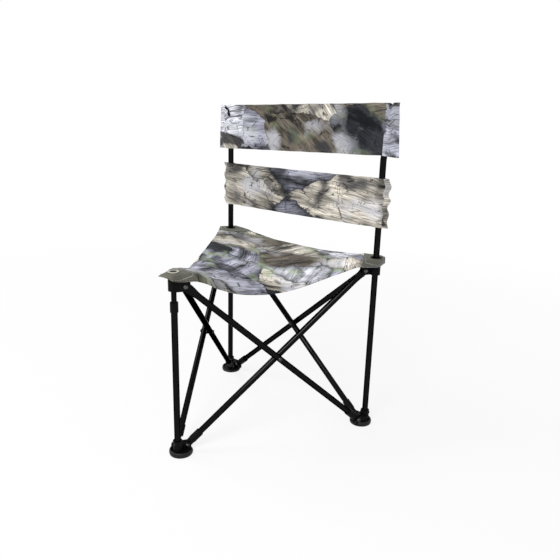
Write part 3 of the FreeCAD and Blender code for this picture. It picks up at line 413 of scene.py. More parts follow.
def patch_material(shade):
    """Olive-grey reinforcement cloth with a coarser weave."""

    def dyed(tree, flat):
        dark, light = ([factor * part for part in shade] for factor in PATCH_SHADES)
        return blend(tree, cloud(tree, flat, 60.0, 4.0), dark, light)

    sewn_material(
        "Patch cloth", dyed, thread=0.0013, row=0.0045, stitch=PATCH_STITCH, stitch_share=1.0,
        relief=(0.5, 0.0004), roughness=0.8,
    )


def make_materials(finish):
    for make_group in (bark_print, weave, stitches, scuffs):
        make_group()
    # colour, colour where worn, roughness, its spread, metallic, scuffs and grain
    hard_material("Powder coat", finish.coating, (0.03, 0.03, 0.033), 0.115, 0.04, 1.0, 0.1, 0.005, rim=0.15)
    hard_material("Moulded nylon", finish.moulding, (0.04, 0.04, 0.042), 0.36, 0.2, 0.0, 0.5, 0.25)
    hard_material("Rubber", finish.rubber, 0.04, 0.4, 0.2, 0.0, 0.6, 0.4, gloss=0.25)
    hard_material("Blackened steel", finish.steel, 0.3, 0.3, 0.2, 1.0, 1.0, 0.1)
    hard_material("Painted steel", 0.045, 0.12, 0.25, 0.1, 1.0, 0.5, 0.05, rim=0.3)
    hard_material("Nickel plate", finish.nickel, (0.12, 0.11, 0.09), 0.3, 0.2, 1.0, 0.35, 0.06)
    hard_material("Black cord", (0.008, 0.008, 0.009), 0.03, 0.7, 0.2, 0.0, 0.5, 0.8)
    # scale, lightness, turn, moss, blots, shift, lay and depth
    cloth_material("Seat cloth", 9.5, 0.56, 3.0, 0.4, 0.6, (0.3, 2.2, 0), 0.0, 0.98)
    cloth_material("Top band cloth", 8.5, 0.46, 1.2, 0.15, 0.9, (2.317, 5.045, 0), 0.3, 0.84)
    cloth_material("Lower band cloth", 5.0, 0.64, 0.5, 0.0, 0.35, (2.70, 1.27, 0), 0.05, 0.94)
    patch_material(finish.patch)


# ---- modelling helpers
SMOOTH_ANGLE = math.radians(50)


def deselect():
    if bpy.context.object and bpy.context.object.mode != "OBJECT":
        bpy.ops.object.mode_set(mode="OBJECT")
    bpy.ops.object.select_all(action="DESELECT")


def activate(piece):
    deselect()
    piece.select_set(True)
    bpy.context.view_layer.objects.active = piece


def apply_modifier(piece, kind, **settings):
    activate(piece)
    modifier = piece.modifiers.new(kind, kind)
    for name, value in settings.items():
        setattr(modifier, name, value)
    bpy.ops.object.modifier_apply(modifier=modifier.name)


def cloth_grid(name, faces, shape, flat, hem):
    """A sheet with a grid of faces. shape maps (0 to 1, 0 to 1) to a place. flat and hem map
    it, and the face's own middle, to the print's coordinates and to (along the edge, from it)."""
    deselect()
    bpy.ops.mesh.primitive_grid_add(x_subdivisions=faces[0], y_subdivisions=faces[1], size=1)
    piece = bpy.context.object
    piece.name = piece.data.name = name
    mesh = piece.data
    spots = [(v.co.x + 0.5, v.co.y + 0.5) for v in mesh.vertices]
    for layer in list(mesh.uv_layers):
        mesh.uv_layers.remove(layer)
    for label, place in (("Cloth", flat), ("Hem", hem)):
        layer = mesh.uv_layers.new(name=label)
        for face in mesh.polygons:
            middle = sum(spots[corner][0] for corner in face.vertices) / len(face.vertices)
            for loop in face.loop_indices:
                layer.data[loop].uv = place(*spots[mesh.loops[loop].vertex_index], middle)
    for vertex, spot in zip(mesh.vertices, spots):
        vertex.co = shape(*spot)
    mesh.update()
    return piece


def set_material(piece, material):
    piece.data.materials.clear()
    piece.data.materials.append(bpy.data.materials[material])


def dress(piece, material, slot, body, *nodes):
    """Give a piece its material and the body it rides on, and hide the nodes it replaces. slot is not used.
    """
    set_material(piece, material)
    if nodes:
        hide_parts(*nodes)
    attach(piece, body)


def smooth(piece):
    activate(piece)
    bpy.ops.object.shade_smooth_by_angle(angle=SMOOTH_ANGLE)


def thicken(piece, thickness):
    apply_modifier(piece, "SOLIDIFY", thickness=thickness, offset=0, use_even_offset=True)
    smooth(piece)


def turn_outwards(piece, merged=0.0):
    """Merge the points closer than merged, and turn all faces outwards."""
    activate(piece)
    bpy.ops.object.mode_set(mode="EDIT")
    bpy.ops.mesh.select_all(action="SELECT")
    if merged:
        bpy.ops.mesh.remove_doubles(threshold=merged)
    bpy.ops.mesh.normals_make_consistent(inside=False)
    bpy.ops.object.mode_set(mode="OBJECT")


def smoothstep(low, high, value):
    share = min(max((value - low) / (high - low), 0), 1)
    return share * share * (3 - 2 * share)


# ---- seat
def leg_frame(leg):
    """A corner's own axes in plan: sideways and inwards, from the leg's axis."""
    inwards = (PRISM_MIDDLE - LEG_AXES[leg]).normalized()
    return Vector((inwards.y, -inwards.x)), inwards


# each edge: the setting of its sag, and how strongly it is pulled towards either corner
EDGE_SAGS = (
    ("right_edge_sag", ("front", 2.2), ("right", 1.8)),
    ("left_edge_sag", ("front", 5.0), ("left", 2.0)),
    ("rear_edge_sag", ("right", 1.0), ("left", 1.0)),
)
# how far the cloth's edge hangs down over the side of a hub, by leg and the leg that the edge runs to
FLAPS = {("right", "front"): 0.013, ("front", "right"): 0.014, ("front", "left"): 0.008}
FLAP_WIDTH = 0.014
# where a flap starts to hang, along the edge from the leg, and how much of its drop it draws in
FLAP_START = (-0.024, 0.010)
FLAP_TUCK = 0.35
# how far from the leg the cloth stops lying over the hub
HUB_LAP = (0.04, 0.12)
# how the cut-off corners bend: their share of the droop, and how far they draw in
CORNER_BENDS = {"front": (1.0, 0.009), "right": (0.2, 0.009)}
BEND_START = 0.010
# the creases that fan out from a leg: where they start and end, their height, how many to a turn,
# and how far they are turned from one leg to the next
CREASE_START = (0.035, 0.08)
CREASE_END = (0.11, 0.2)
CREASE_HEIGHT = 0.0011
CREASE_COUNT = 19
CREASE_SHIFT = 1.3
# unevenness of the free cloth, broad and fine, and where it starts
UNEVEN = 0.0034
FINE_UNEVEN = 0.0008
FLAT_ROUND_LEG = (0.03, 0.09)
# skew and curve of each patch's inner border, across the corner
PATCH_BORDERS = {"front": (0.25, 0.0), "right": (0.0, 0.3), "left": (-0.3, 0.0)}
TRIANGLE_HEIGHT = LEG_SPACING * math.sqrt(3) / 2
CORNER_DEPTH = 0.21
CORNER_FACES = (40, 16)
GORE_SIDES = (-1.0, -0.5, 0.0, 0.5, 1.0)
GORE_FACES = (14, 40)
EDGE_STEPS = 24
PATCH_FACES = (26, 20)
PATCH_THICKNESS = 0.0012
PATCH_LIFT = 0.0016
# a patch's width as a share of its corner's, how far it starts from the cut-off corner, and the
# sizes by which its rows of stitches are measured: its own and the length of a row across it
PATCH_WIDTH = 0.985
PATCH_START = 0.003
PATCH_SPAN = 0.06
PATCH_ROW = 0.05
EYELET_HOLE = 0.0105


class SeatShape:
    """Where each point of the sling lies. A corner's part of it is spanned by two numbers:
    side from -1 to 1 across, and depth from 0 at the cut-off corner to 1 at the middle."""

    def __init__(self, settings):
        self.settings = settings
        self.top = HUB_TOP + settings.rise

    def corner(self, leg, side):
        """A point of a cut-off corner's end, side from -1 to 1 across."""
        across, inwards = leg_frame(leg)
        wide = side * self.settings.corner_half_width
        return LEG_AXES[leg] + across * wide + inwards * -self.settings.reach

    def neighbours(self, leg):
        """The legs on this corner's negative and positive side."""
        side, _ = leg_frame(leg)
        others = [other for other in LEGS if other != leg]
        return sorted(others, key=lambda other: (LEG_AXES[other] - LEG_AXES[leg]).dot(side))

    def edge(self, leg, other, share):
        """A point of the bowed edge between two corners, share from leg's corner to other's."""
        sign = 1 if self.neighbours(leg)[1] == other else -1
        start, end = self.corner(leg, sign), self.corner(other, -sign)
        halfway = (LEG_AXES[leg] + LEG_AXES[other]) / 2
        middle = halfway + (halfway - PRISM_MIDDLE).normalized() * self.settings.edge_outset
        chord = end - start
        across = Vector((-chord.y, chord.x)).normalized()
        rise = (middle - (start + end) / 2).dot(across)
        return start + chord * share + across * (4 * share * (1 - share) * rise)

    def plan(self, leg, side, depth):
        """A point's place seen from above."""
        ends = [self.edge(leg, other, 0.5) for other in self.neighbours(leg)]
        inner = PRISM_MIDDLE.lerp(ends[side > 0], abs(side))
        point = self.corner(leg, side).lerp(inner, depth)
        for sign, other, end in zip((-1, 1), self.neighbours(leg), ends):
            bow = self.edge(leg, other, depth / 2) - self.corner(leg, sign).lerp(end, depth)
            point = point + bow * ((1 + sign * side) / 2)
        return point

    def sag(self, point):
        """How far the cloth hangs below its corners: free away from the legs, flat near them."""
        share = {}
        free = 1
        for leg, axis in LEG_AXES.items():
            share[leg] = max(1 - (point - axis).dot(leg_frame(leg)[1]) / TRIANGLE_HEIGHT, 0)
            flat = self.settings.flat_radius
            free *= smoothstep(flat, flat + self.settings.slope_length, (point - axis).length)
        # the product of the three shares is at most 1 / 27, at the middle
        drop = 27 * self.settings.belly * math.prod(share.values())
        for name, *pulls in EDGE_SAGS:
            total = sum(pull for _, pull in pulls)
            most = math.prod((pull / total) ** pull for _, pull in pulls)
            here = math.prod(share[leg] ** pull for leg, pull in pulls)
            drop += getattr(self.settings, name) * here / most
        return max(free * drop, 0)

    def flap(self, leg, point):
        """The edge strip beside a hub, bent down over it: how far down, and how far back in plan."""
        down, back = 0, Vector((0, 0))
        offset = point - LEG_AXES[leg]
        near = 1 - smoothstep(*HUB_LAP, offset.length)
        for other in self.neighbours(leg):
            along = (LEG_AXES[other] - LEG_AXES[leg]).normalized()
            out = Vector((along.y, -along.x))
            out *= math.copysign(1, out.dot(LEG_AXES[leg] - PRISM_MIDDLE))
            beyond = offset.dot(out) - self.settings.hub_side
            started = smoothstep(*FLAP_START, offset.dot(along))
            bent = near * started * smoothstep(0, FLAP_WIDTH, beyond) * FLAPS.get((leg, other), 0)
            down += bent
            back -= out * bent * FLAP_TUCK
        return down, back

    def wrinkles(self, point):
        """Creases that fan out from each corner, and a slight unevenness."""
        height = 0
        near = 1
        for index, leg in enumerate(LEGS):
            side, inwards = leg_frame(leg)
            offset = point - LEG_AXES[leg]
            distance = offset.length
            turn = math.atan2(offset.dot(side), offset.dot(inwards))
            fade = smoothstep(*CREASE_START, distance) * (1 - smoothstep(*CREASE_END, distance))
            height += CREASE_HEIGHT * fade * math.sin(CREASE_COUNT * turn + CREASE_SHIFT * index)
            near *= smoothstep(*FLAT_ROUND_LEG, distance)
        uneven = noise.noise(Vector((point.x * 9, point.y * 9, 3.7))) * UNEVEN
        fine = noise.noise(Vector((point.x * 31, point.y * 24, 8.1))) * FINE_UNEVEN
        return height + near * (uneven + fine)

    def place(self, leg, side, depth):
        point = self.plan(leg, side, depth)
        down, back = self.flap(leg, point)
        height = self.top - self.sag(point) + self.wrinkles(point) - down
        inwards = leg_frame(leg)[1]
        beyond = -(point - LEG_AXES[leg]).dot(inwards)
        bent = smoothstep(BEND_START, self.settings.reach, beyond)
        droop, back_in = CORNER_BENDS.get(leg, (0, 0))
        height -= self.settings.droop * droop * bent
        point = point + inwards * back_in * bent
        return Vector((*(point + back), height))


def make_seat_part(shape, name, leg, sides, depths, faces):
    """Cloth of one corner between two sides and two depths."""

    def spot(across, up):
        return sides[0] + (sides[1] - sides[0]) * across, depths[0] + (depths[1] - depths[0]) * up

    def where(across, up):
        return shape.place(leg, *spot(across, up))

    def flat(across, up, middle):
        return shape.plan(leg, *spot(across, up))

    def hem(across, up, middle):
        point = flat(across, up, middle)
        half_edge = [step / (2 * EDGE_STEPS) for step in range(EDGE_STEPS + 1)]
        places = [shape.edge(leg, other, share) for other in shape.neighbours(leg) for share in half_edge]
        nearest = min((point - place).length for place in places)
        offset = point - LEG_AXES[leg]
        side, inwards = leg_frame(leg)
        outer = offset.dot(inwards) + shape.settings.reach
        along = offset.length if nearest < outer else offset.dot(side)
        return Vector((along, min(nearest, outer)))

    return cloth_grid(name, faces, where, flat, hem)


def punch_eyelet(piece, leg):
    """Cut the round hole for the leg through a sheet."""
    deselect()
    place = (*LEG_AXES[leg], HUB_TOP)
    bpy.ops.mesh.primitive_cylinder_add(vertices=40, radius=EYELET_HOLE, depth=0.06, location=place)
    cutter = bpy.context.object
    apply_modifier(piece, "BOOLEAN", operation="DIFFERENCE", object=cutter, solver="EXACT")
    bpy.data.objects.remove(cutter)


def sheet_of(piece, leg):
    """Find where the sheet's points lie along its corner's two axes; nothing more is done with them."""
    for direction in leg_frame(leg):
        places = [vertex.co.xy.dot(direction) for vertex in piece.data.vertices]


def fold_away(piece, reach):
    """Give the piece its own copy of its mesh. reach is not used."""
    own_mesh(piece)


class STOOL_OT_seat(bpy.types.Operator):
    """Sling seat between the three hubs"""

    bl_idname = "stool.seat"
    bl_label = "Seat"

    def execute(self, context):
        settings = context.scene.stool_seat
        shape = SeatShape(settings)
        for leg in LEGS:
            depths = (0, CORNER_DEPTH)
            corner = make_seat_part(shape, f"seat_corner_{leg}", leg, (-1, 1), depths, CORNER_FACES)
            thicken(corner, settings.thickness)
            punch_eyelet(corner, leg)
            parts = [corner]
            for index, sides in enumerate(zip(GORE_SIDES, GORE_SIDES[1:])):
                name = f"seat_gore_{leg}_{index}"
                gore = make_seat_part(shape, name, leg, sides, (CORNER_DEPTH, 1), GORE_FACES)
                thicken(gore, settings.thickness)
                middle = sum(sides) / 2
                start = shape.place(leg, middle, CORNER_DEPTH)
                run = (shape.place(leg, middle, 1) - start).xy
                fold_away(gore, run.length)
                parts.append(gore)
            for piece in parts:
                dress(piece, "Seat cloth", "fabric", f"{leg}_hub", "seat")
                sheet_of(piece, leg)
        return {"FINISHED"}


class STOOL_OT_patches(bpy.types.Operator):
    """Reinforcement patches on the seat's corners"""

    bl_idname = "stool.patches"
    bl_label = "Corner patches"

    def execute(self, context):
        settings = context.scene.stool_seat
        shape = SeatShape(settings)
        full_depth = settings.reach + LEG_SPACING / math.sqrt(3)
        for leg in LEGS:
            deep = getattr(settings, f"{leg}_patch") / full_depth
            skew, curve = PATCH_BORDERS[leg]

            def spot(across, up):
                side = (2 * across - 1) * PATCH_WIDTH
                return side, PATCH_START + up * deep * (1 + skew * side + curve * side * side)

            def where(across, up):
                return shape.place(leg, *spot(across, up)) + Vector((0, 0, PATCH_LIFT))

            def flat(across, up, middle):
                return shape.plan(leg, *spot(across, up))

            def hem(across, up, middle):
                inwards = [min(share, 1 - share) * PATCH_SPAN for share in (across, up)]
                along = up * PATCH_SPAN if inwards[0] < inwards[1] else across * PATCH_ROW
                return Vector((along, min(inwards)))

            piece = cloth_grid(f"seat_patch_{leg}", PATCH_FACES, where, flat, hem)
            thicken(piece, PATCH_THICKNESS)
            punch_eyelet(piece, leg)
            dress(piece, "Patch cloth", "patch", f"{leg}_hub", f"{leg}_seat_patch")
            sheet_of(piece, leg)
        return {"FINISHED"}


# ---- back bands
# the height where the posts bend, and how far they lean outwards and back above it
POST_BEND = 0.6872
POST_LEAN = (0.1111, 0.1000)
PANEL_FACES = (64, 40)
SLEEVE_FACES = (72, 40)
# how far below its solid's top a band's cloth ends
TOP_GAP = 0.0006
TOP_RUCK = 0.0008
# the gathers at the top band's corners: their distance from the middle, width and depth
GATHER = (0.266, 0.0065, 0.0085)
# the top band's right end hangs lower: how far, and where that starts and ends
RIGHT_DROP = 0.004
RIGHT_DROP_SPAN = (0.24, 0.288)
LOW_BAND_BOW = 0.0015
EDGE_WAVE = 0.0012
# the rucks: where they start to deepen, their depth before that, and how much deeper at the ends
RUCK_START = 0.45
RUCK_DEPTH = 0.35
RUCK_RISE = 0.9
# the lower band's open ends: length and depth of their waves, and the unevenness on top
END_WAVE = (0.033, 0.0028, 0.003)
# the print on a sleeve: jumps beyond the seam and on the back
SEAM_JUMP = 0.83
BACK_JUMP = 0.4


def post_axis(height):
    """A post's axis at a height, as its distance from the middle plane and its y."""
    lean = max(height - POST_BEND, 0)
    return LEG_SPACING / 2 + POST_LEAN[0] * lean, REAR_Y + POST_LEAN[1] * lean


def lens(offset, reach, radius):
    """Half of a pocket's thickness at an offset from the post it is pulled round."""
    offset = min(abs(offset), reach)
    touch = radius * radius / reach
    if offset <= touch:
        return math.sqrt(radius * radius - offset * offset)
    return math.sqrt(radius * radius - touch * touch) * (reach - offset) / (reach - touch)


class BandShape:
    """One back band. Each of its points is given by x, a share of its height and a layer."""

    def __init__(self, name, settings, material):
        top = name == "top"
        self.name = name
        self.material = material
        self.floor = TOP_BAND_FLOOR if top else LOW_BAND_FLOOR
        self.ceiling = (TOP_BAND_TOP if top else LOW_BAND_TOP) - TOP_GAP
        self.tall = self.ceiling - self.floor
        self.half_width = settings.top_half_width if top else settings.low_half_width
        self.seam = settings.top_seam if top else settings.low_seam
        self.inner_seam = LEG_SPACING / 2 - self.seam
        self.radius = settings.sleeve_radius
        self.ruck = TOP_RUCK if top else settings.ruck
        self.tilt = settings.tilt if top else settings.tilt / 4
        self.top = top
        # the closed ends are sewn a little out of square, by side
        self.end_offset = {1: -0.003, -1: 0.0005}
        self.end_slant = {1: -0.014, -1: 0.006}
        # where the print jumps to a piece cut from another part of the cloth, by side
        self.end_seam = {1: 0.2493, -1: self.inner_seam} if top else {1: 0.2580, -1: 0.2600}

    def height(self, x, up):
        low, high = self.floor, self.ceiling
        if self.top:
            middle, width, depth = GATHER
            high -= depth * math.exp(-(((abs(x) - middle) / width) ** 2))
            low -= RIGHT_DROP * smoothstep(*RIGHT_DROP_SPAN, x)
        else:
            bow = LOW_BAND_BOW * (1 - (x / self.half_width) ** 2)
            high -= bow
            low -= bow
        edge = noise.noise(Vector((x * 22, 5.1 if up > 0.5 else 9.3, 0))) * EDGE_WAVE
        tilt = self.tilt * x / self.half_width
        return low + (high - low) * up + edge * abs(2 * up - 1) + tilt

    def fold(self, x, height, sheet):
        """Rucks: shallow folds that run along the band and are deepest at its ends."""
        end = smoothstep(RUCK_START, 1, abs(x) / self.half_width)
        wave = noise.noise(Vector((x * 4, height * 52, 1.7 + 3 * sheet + 2.3 * self.top)))
        return wave * self.ruck * (RUCK_DEPTH + RUCK_RISE * end)

    def place(self, x, up, layer):
        """layer is -1 on a sleeve's front, 1 on its back and 0 on the panel between."""
        height = self.height(x, up)
        post_x, post_y = post_axis(height)
        sign = 1 if x > 0 else -1
        outer = self.half_width
        if self.top:
            outer += self.end_offset[sign] + self.end_slant[sign] * up
        else:
            pitch, depth, uneven = END_WAVE
            outer += depth * math.sin(2 * math.pi * (height - self.floor) / pitch + sign)
            outer += uneven * noise.noise(Vector((sign * 4.2, height * 60, 0.4)))
        if layer:
            span = (abs(x) - self.inner_seam) / (self.half_width - self.inner_seam)
            x = sign * (self.inner_seam + span * (outer - self.inner_seam))
        off = abs(x) - post_x
        reach = outer - post_x if off > 0 else post_x - self.inner_seam
        bulge = layer * lens(off, max(reach, self.radius + 0.001), self.radius) if layer else 0
        return Vector((x, post_y + bulge + self.fold(x, height, 0), height))


def make_band_cloth(band, leg, kind):
    """Half of the panel between the sleeves, or the sleeve round a post: from its seam the cloth
    runs out over the front and comes back behind the post."""
    sign = 1 if leg == "right" else -1
    inner, outer = band.inner_seam, band.half_width
    width = outer - inner
    panel = kind == "panel"

    def spot(share):
        """x and layer at a share of the cloth, from the left or the front."""
        share = share if sign > 0 else 1 - share
        if panel:
            return sign * inner * share, 0
        if share <= 0.5:
            return sign * (inner + width * 2 * share), -1
        return sign * (outer - width * (2 * share - 1)), 1

    def where(share, up):
        x, layer = spot(share)
        return band.place(x, up, layer)

    def flat(share, up, middle):
        middle_x, layer = spot(middle)
        jump = SEAM_JUMP * sign if abs(middle_x) > band.end_seam[sign] else 0
        jump += BACK_JUMP if layer > 0 else 0
        return Vector((spot(share)[0] + jump, up * band.tall))

    def hem(share, up, middle):
        along = spot(share)[0] if panel else share * 2 * width
        return Vector((along, min(up, 1 - up) * band.tall))

    faces = PANEL_FACES if panel else SLEEVE_FACES
    piece = cloth_grid(f"{band.name}_band_{kind}_{leg}", faces, where, flat, hem)
    if not panel:
        turn_outwards(piece, merged=0.00005)
    return piece


# how far the cord's middle stands off the cloth, in radii
TIE_LIFT = 0.8
# tail of the cord in the left sleeve's corner: from the sleeve's end, below its top, radius
TIE_LINE = (
    (0.0175, 0.0010, 0.0020),
    (0.0225, 0.0065, 0.0028),
    (0.0275, 0.0095, 0.0032),
    (0.0320, 0.0105, 0.0026),
    (0.0340, 0.0160, 0.0022),
    (0.0352, 0.0205, 0.0024),
    (0.0364, 0.0245, 0.0036),
    (0.0374, 0.0275, 0.0038),
    (0.0380, 0.0300, 0.0012),
)


def make_tie(band):
    """Short tail of cord, sewn in the gathered corner and lying on the sleeve, with a knot."""
    curve = bpy.data.curves.new("sleeve_tie", "CURVE")
    curve.dimensions = "3D"
    curve.bevel_depth = 1
    curve.bevel_resolution = 4
    curve.use_fill_caps = True
    spline = curve.splines.new("NURBS")
    spline.points.add(len(TIE_LINE) - 1)
    for point, (inwards, down, radius) in zip(spline.points, TIE_LINE):
        x = inwards - band.half_width
        below = down - band.ceiling + band.height(x, 1) - band.tilt * x / band.half_width
        spot = band.place(x, 1 - max(below, 0) / band.tall, -1)
        point.co = (spot.x, spot.y - TIE_LIFT * radius, spot.z, 1)
        point.radius = radius
    spline.order_u = 3
    spline.use_endpoint_u = True
    piece = bpy.data.objects.new("sleeve_tie", curve)
    bpy.context.collection.objects.link(piece)
    activate(piece)
    bpy.ops.object.convert(target="MESH")
    piece = bpy.context.object
    piece.data.name = "sleeve_tie"
    bpy.ops.object.shade_smooth()
    return piece


def make_band(band, thickness, cad_node):
    """A band's panels and sleeves."""
    for leg in POST_LEGS:
        for kind in ("panel", "sleeve"):
            piece = make_band_cloth(band, leg, kind)
            thicken(piece, thickness)
            dress(piece, band.material, "fabric", f"{leg}_leg", cad_node)
            if kind == "panel":
                fold_away(piece, band.inner_seam)


class STOOL_OT_top_band(bpy.types.Operator):
    """Top back band with its closed sleeves"""

    bl_idname = "stool.top_band"
    bl_label = "Top band"

    def execute(self, context):
        settings = context.scene.stool_band
        band = BandShape("top", settings, "Top band cloth")
        tie = make_tie(band)
        dress(tie, "Black cord", "fabric", "left_leg")
        make_band(band, settings.thickness, "top_back_band")
        return {"FINISHED"}


class STOOL_OT_low_band(bpy.types.Operator):
    """Lower back band with its open sleeves"""

    bl_idname = "stool.low_band"
    bl_label = "Lower band"

    def execute(self, context):
        settings = context.scene.stool_band
        make_band(BandShape("lower", settings, "Lower band cloth"), settings.thickness, "lower_back_band")
        return {"FINISHED"}


# ---- foot shoes
# the rubber shoe's section from under its sole, over its lip and back under the foot: radius, height
SHOE_SECTION = (
    (0.0272, 0.0008),
    (0.0280, 0.0028),
    (0.0282, 0.0070),
    (0.0277, 0.0102),
    (0.0265, 0.0121),
    (0.0250, 0.0125),
    (0.0237, 0.0114),
    (0.0231, 0.0090),
    (0.0237, 0.0074),
    (0.0261, 0.00505),
)
SOLE_RADIUS = 0.0256
# above this height the lip is lowered towards the hinges, to this share of its own height
SHOE_FLOOR = 0.005
LOW_LIP = 0.35
# the cosines of the angle from the inward direction where that starts and where it is all done
LIP_TURN = (0.1, 0.6)
# a point at a different distance from each of a shoe's faces
SORT_POINT = (0.71, -0.43, 0.37)


def make_shoe(leg):
    """Shoe whose lip is high on the outside and low under the brace hinges."""
    centre = middle_of(f"{leg}_foot_pad")
    centre.z = 0
    deselect()
    bpy.ops.mesh.primitive_circle_add(vertices=64, radius=SOLE_RADIUS, fill_type="NGON", location=centre)
    piece = bpy.context.object
    piece.name = piece.data.name = f"foot_shoe_{leg}"
    bpy.ops.object.mode_set(mode="EDIT")
    bpy.ops.mesh.select_all(action="SELECT")
    radius, height = SOLE_RADIUS, 0
    for next_radius, next_height in SHOE_SECTION:
        step = {"value": (0, 0, next_height - height)}
        bpy.ops.mesh.extrude_region_move(TRANSFORM_OT_translate=step)
        share = next_radius / radius
        bpy.ops.transform.resize(value=(share, share, 1), center_override=(*centre.xy, next_height))
        radius, height = next_radius, next_height
    # extruding leaves a ring's faces in any order, so they are sorted by their distance
    bpy.context.scene.cursor.location = SORT_POINT
    bpy.ops.mesh.select_all(action="SELECT")
    bpy.ops.mesh.sort_elements(type="CURSOR_DISTANCE", elements={"FACE"})
    turn_outwards(piece)
    bpy.ops.object.transform_apply(location=True, rotation=True, scale=True)
    inwards = leg_frame(leg)[1]
    for vertex in piece.data.vertices:
        offset = (vertex.co - centre).xy
        lip = vertex.co.z - SHOE_FLOOR
        if lip > 0 and offset.length:
            low = smoothstep(*LIP_TURN, offset.normalized().dot(inwards))
            vertex.co.z = SHOE_FLOOR + lip * (1 - (1 - LOW_LIP) * low)
    smooth(piece)
    return piece


class STOOL_OT_shoes(bpy.types.Operator):
    """Rubber shoes under the three feet"""

    bl_idname = "stool.shoes"
    bl_label = "Foot shoes"

    def execute(self, context):
        for leg in LEGS:
            dress(make_shoe(leg), "Rubber", "pad", f"{leg}_leg", f"{leg}_foot_pad")
        return {"FINISHED"}


# ---- frame finishes
def finish_of(node):
    """The finish of a carried-over frame piece, by its name."""
    if "pad" in node:
        return "Rubber"
    if "grommet" in node:
        return "Nickel plate" if node.startswith("front") else "Painted steel"
    if "hub_rivets" in node:
        return "Blackened steel"
    if any(word in node for word in ("rivet", "pin", "washer")):
        return "Painted steel"
    if node.endswith(("_foot", "_hub", "_knuckle", "_collar", "_plug", "_cap")):
        return "Moulded nylon"
    return "Powder coat"


class STOOL_OT_frame(bpy.types.Operator):
    """Finishes of the tubes, mouldings and fasteners"""

    bl_idname = "stool.frame"
    bl_label = "Frame finishes"

    def execute(self, context):
        make_materials(context.scene.stool_finish)
        for name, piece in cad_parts.items():
            set_material(piece, finish_of(name))
        return {"FINISHED"}


# ---- stage
FLOOR_SIZE = 40
FLOOR_SHADE = 0.9
# the floor's own glow: at the stool, and how much more with each metre from it
FLOOR_GLOW = 0.82
FLOOR_GLOW_RISE = 0.08
SKY_LIGHT = 0.38


def seen_directly(tree):
    """1 where the camera sees the backdrop, also by a reflection or through glass, and else 0."""
    path = add(tree, "LightPath")
    seen = maths(tree, "MAXIMUM", path.outputs["Is Camera Ray"], path.outputs["Is Glossy Ray"])
    return maths(tree, "MAXIMUM", seen, path.outputs["Is Transmission Ray"])


def stage_material():
    material, tree, shader = new_material("White floor")
    shader.inputs["Base Color"].default_value = rgba(FLOOR_SHADE)
    shader.inputs["Roughness"].default_value = 0.9
    place = add(tree, "TexCoord").outputs["Object"]
    away = add(tree, "VectorMath", {0: place}, operation="LENGTH").outputs["Value"]
    share = maths(tree, "MULTIPLY_ADD", away, FLOOR_GLOW_RISE, FLOOR_GLOW, clamp=True)
    share = maths(tree, "MULTIPLY", seen_directly(tree), share)
    glow = add(tree, "Emission", {"Color": rgba(1), "Strength": 1.0})
    mixed = add(tree, "MixShader", {0: share, 1: shader.outputs[0], 2: glow.outputs[0]})
    tree.links.new(mixed.outputs[0], tree.nodes["Material Output"].inputs["Surface"])
    return material


# name, place, height of the point on the stool's middle that it faces, size and power
LAMPS = (
    ("key lamp", (0.75, -2.25, 2.25), 0.45, 1.3, 56),
    ("side lamp", (-1.7, -0.93, 2.42), 0.40, 1.2, 34),
)


def add_lamp(name, place, height, size, power):
    data = bpy.data.lights.new(name, "AREA")
    data.shape = "DISK"
    data.size = size
    data.energy = power
    lamp = bpy.data.objects.new(name, data)
    lamp.location = place
    lamp.rotation_euler = (Vector((0, 0, height)) - Vector(place)).to_track_quat("-Z", "Y").to_euler()
    bpy.context.scene.collection.objects.link(lamp)


CAMERA_AZIMUTH = 39.51
CAMERA_ELEVATION = 16.57
CAMERA_ROLL = 1.56
CAMERA_PLACE = (0.9627, -1.0215, 0.8053)
CAMERA_LENS = 38.227


def add_camera():
    data = bpy.data.cameras.new("Camera")
    data.lens = CAMERA_LENS
    data.sensor_width = 36
    camera = bpy.data.objects.new("Camera", data)
    turn, rise, roll = map(math.radians, (CAMERA_AZIMUTH, CAMERA_ELEVATION, CAMERA_ROLL))
    back = Vector((math.sin(turn) * math.cos(rise), -math.cos(turn) * math.cos(rise), math.sin(rise)))
    level = Vector((math.cos(turn), math.sin(turn), 0))
    upright = back.cross(level)
    right = level * math.cos(roll) + upright * math.sin(roll)
    up = upright * math.cos(roll) - level * math.sin(roll)
    camera.matrix_world = Matrix.Translation(CAMERA_PLACE) @ Matrix((right, up, back)).transposed().to_4x4()
    bpy.context.scene.collection.objects.link(camera)
    bpy.context.scene.camera = camera


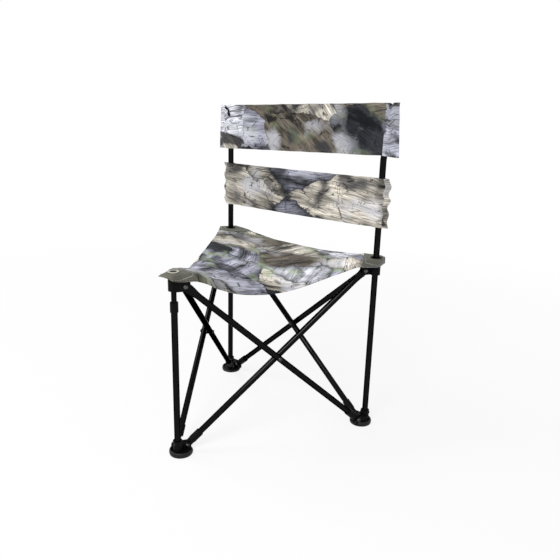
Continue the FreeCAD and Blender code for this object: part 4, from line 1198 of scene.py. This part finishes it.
class STOOL_OT_stage(bpy.types.Operator):
    """White floor, soft lamps and the camera"""

    bl_idname = "stool.stage"
    bl_label = "Stage"

    def execute(self, context):
        scene = context.scene
        scene.view_settings.view_transform = "Standard"
        deselect()
        bpy.ops.mesh.primitive_plane_add(size=FLOOR_SIZE, location=(0, 0, 0))
        floor = context.object
        floor.name = "floor"
        floor.data.materials.append(stage_material())
        world = bpy.data.worlds.new("Studio")
        scene.world = world
        world.use_nodes = True
        tree = world.node_tree
        strength = maths(tree, "MULTIPLY_ADD", seen_directly(tree), 1 - SKY_LIGHT, SKY_LIGHT)
        tree.nodes["Background"].inputs["Color"].default_value = rgba(1)
        tree.links.new(strength, tree.nodes["Background"].inputs["Strength"])
        for lamp in LAMPS:
            add_lamp(*lamp)
        add_camera()
        return {"FINISHED"}


# ---- panel and registration
OPERATORS = (
    STOOL_OT_frame,
    STOOL_OT_seat,
    STOOL_OT_patches,
    STOOL_OT_top_band,
    STOOL_OT_low_band,
    STOOL_OT_shoes,
    STOOL_OT_stage,
)


class STOOL_PT_panel(bpy.types.Panel):
    """Pieces of the stool"""

    bl_idname = "STOOL_PT_panel"
    bl_label = "Three Leg Stool"
    bl_space_type = "VIEW_3D"
    bl_region_type = "UI"
    bl_category = "Stool"

    def draw(self, context):
        for operator in OPERATORS:
            self.layout.operator(operator.bl_idname)
        for name in SETTINGS:
            group = getattr(context.scene, name)
            box = self.layout.box()
            for key in group.__annotations__:
                box.prop(group, key)


SETTINGS = {"stool_seat": SeatSettings, "stool_band": BandSettings, "stool_finish": FinishSettings}


def register():
    for cls in (*SETTINGS.values(), *OPERATORS, STOOL_PT_panel):
        bpy.utils.register_class(cls)
    for name, cls in SETTINGS.items():
        setattr(bpy.types.Scene, name, bpy.props.PointerProperty(type=cls))


def unregister():
    for name in SETTINGS:
        delattr(bpy.types.Scene, name)
    for cls in reversed((*SETTINGS.values(), *OPERATORS, STOOL_PT_panel)):
        bpy.utils.unregister_class(cls)


def main():
    register()
    bpy.ops.stool.frame()
    bpy.ops.stool.seat()
    bpy.ops.stool.patches()
    bpy.ops.stool.top_band()
    bpy.ops.stool.low_band()
    bpy.ops.stool.shoes()
    bpy.ops.stool.stage()


if __name__ == "__main__":
    main()
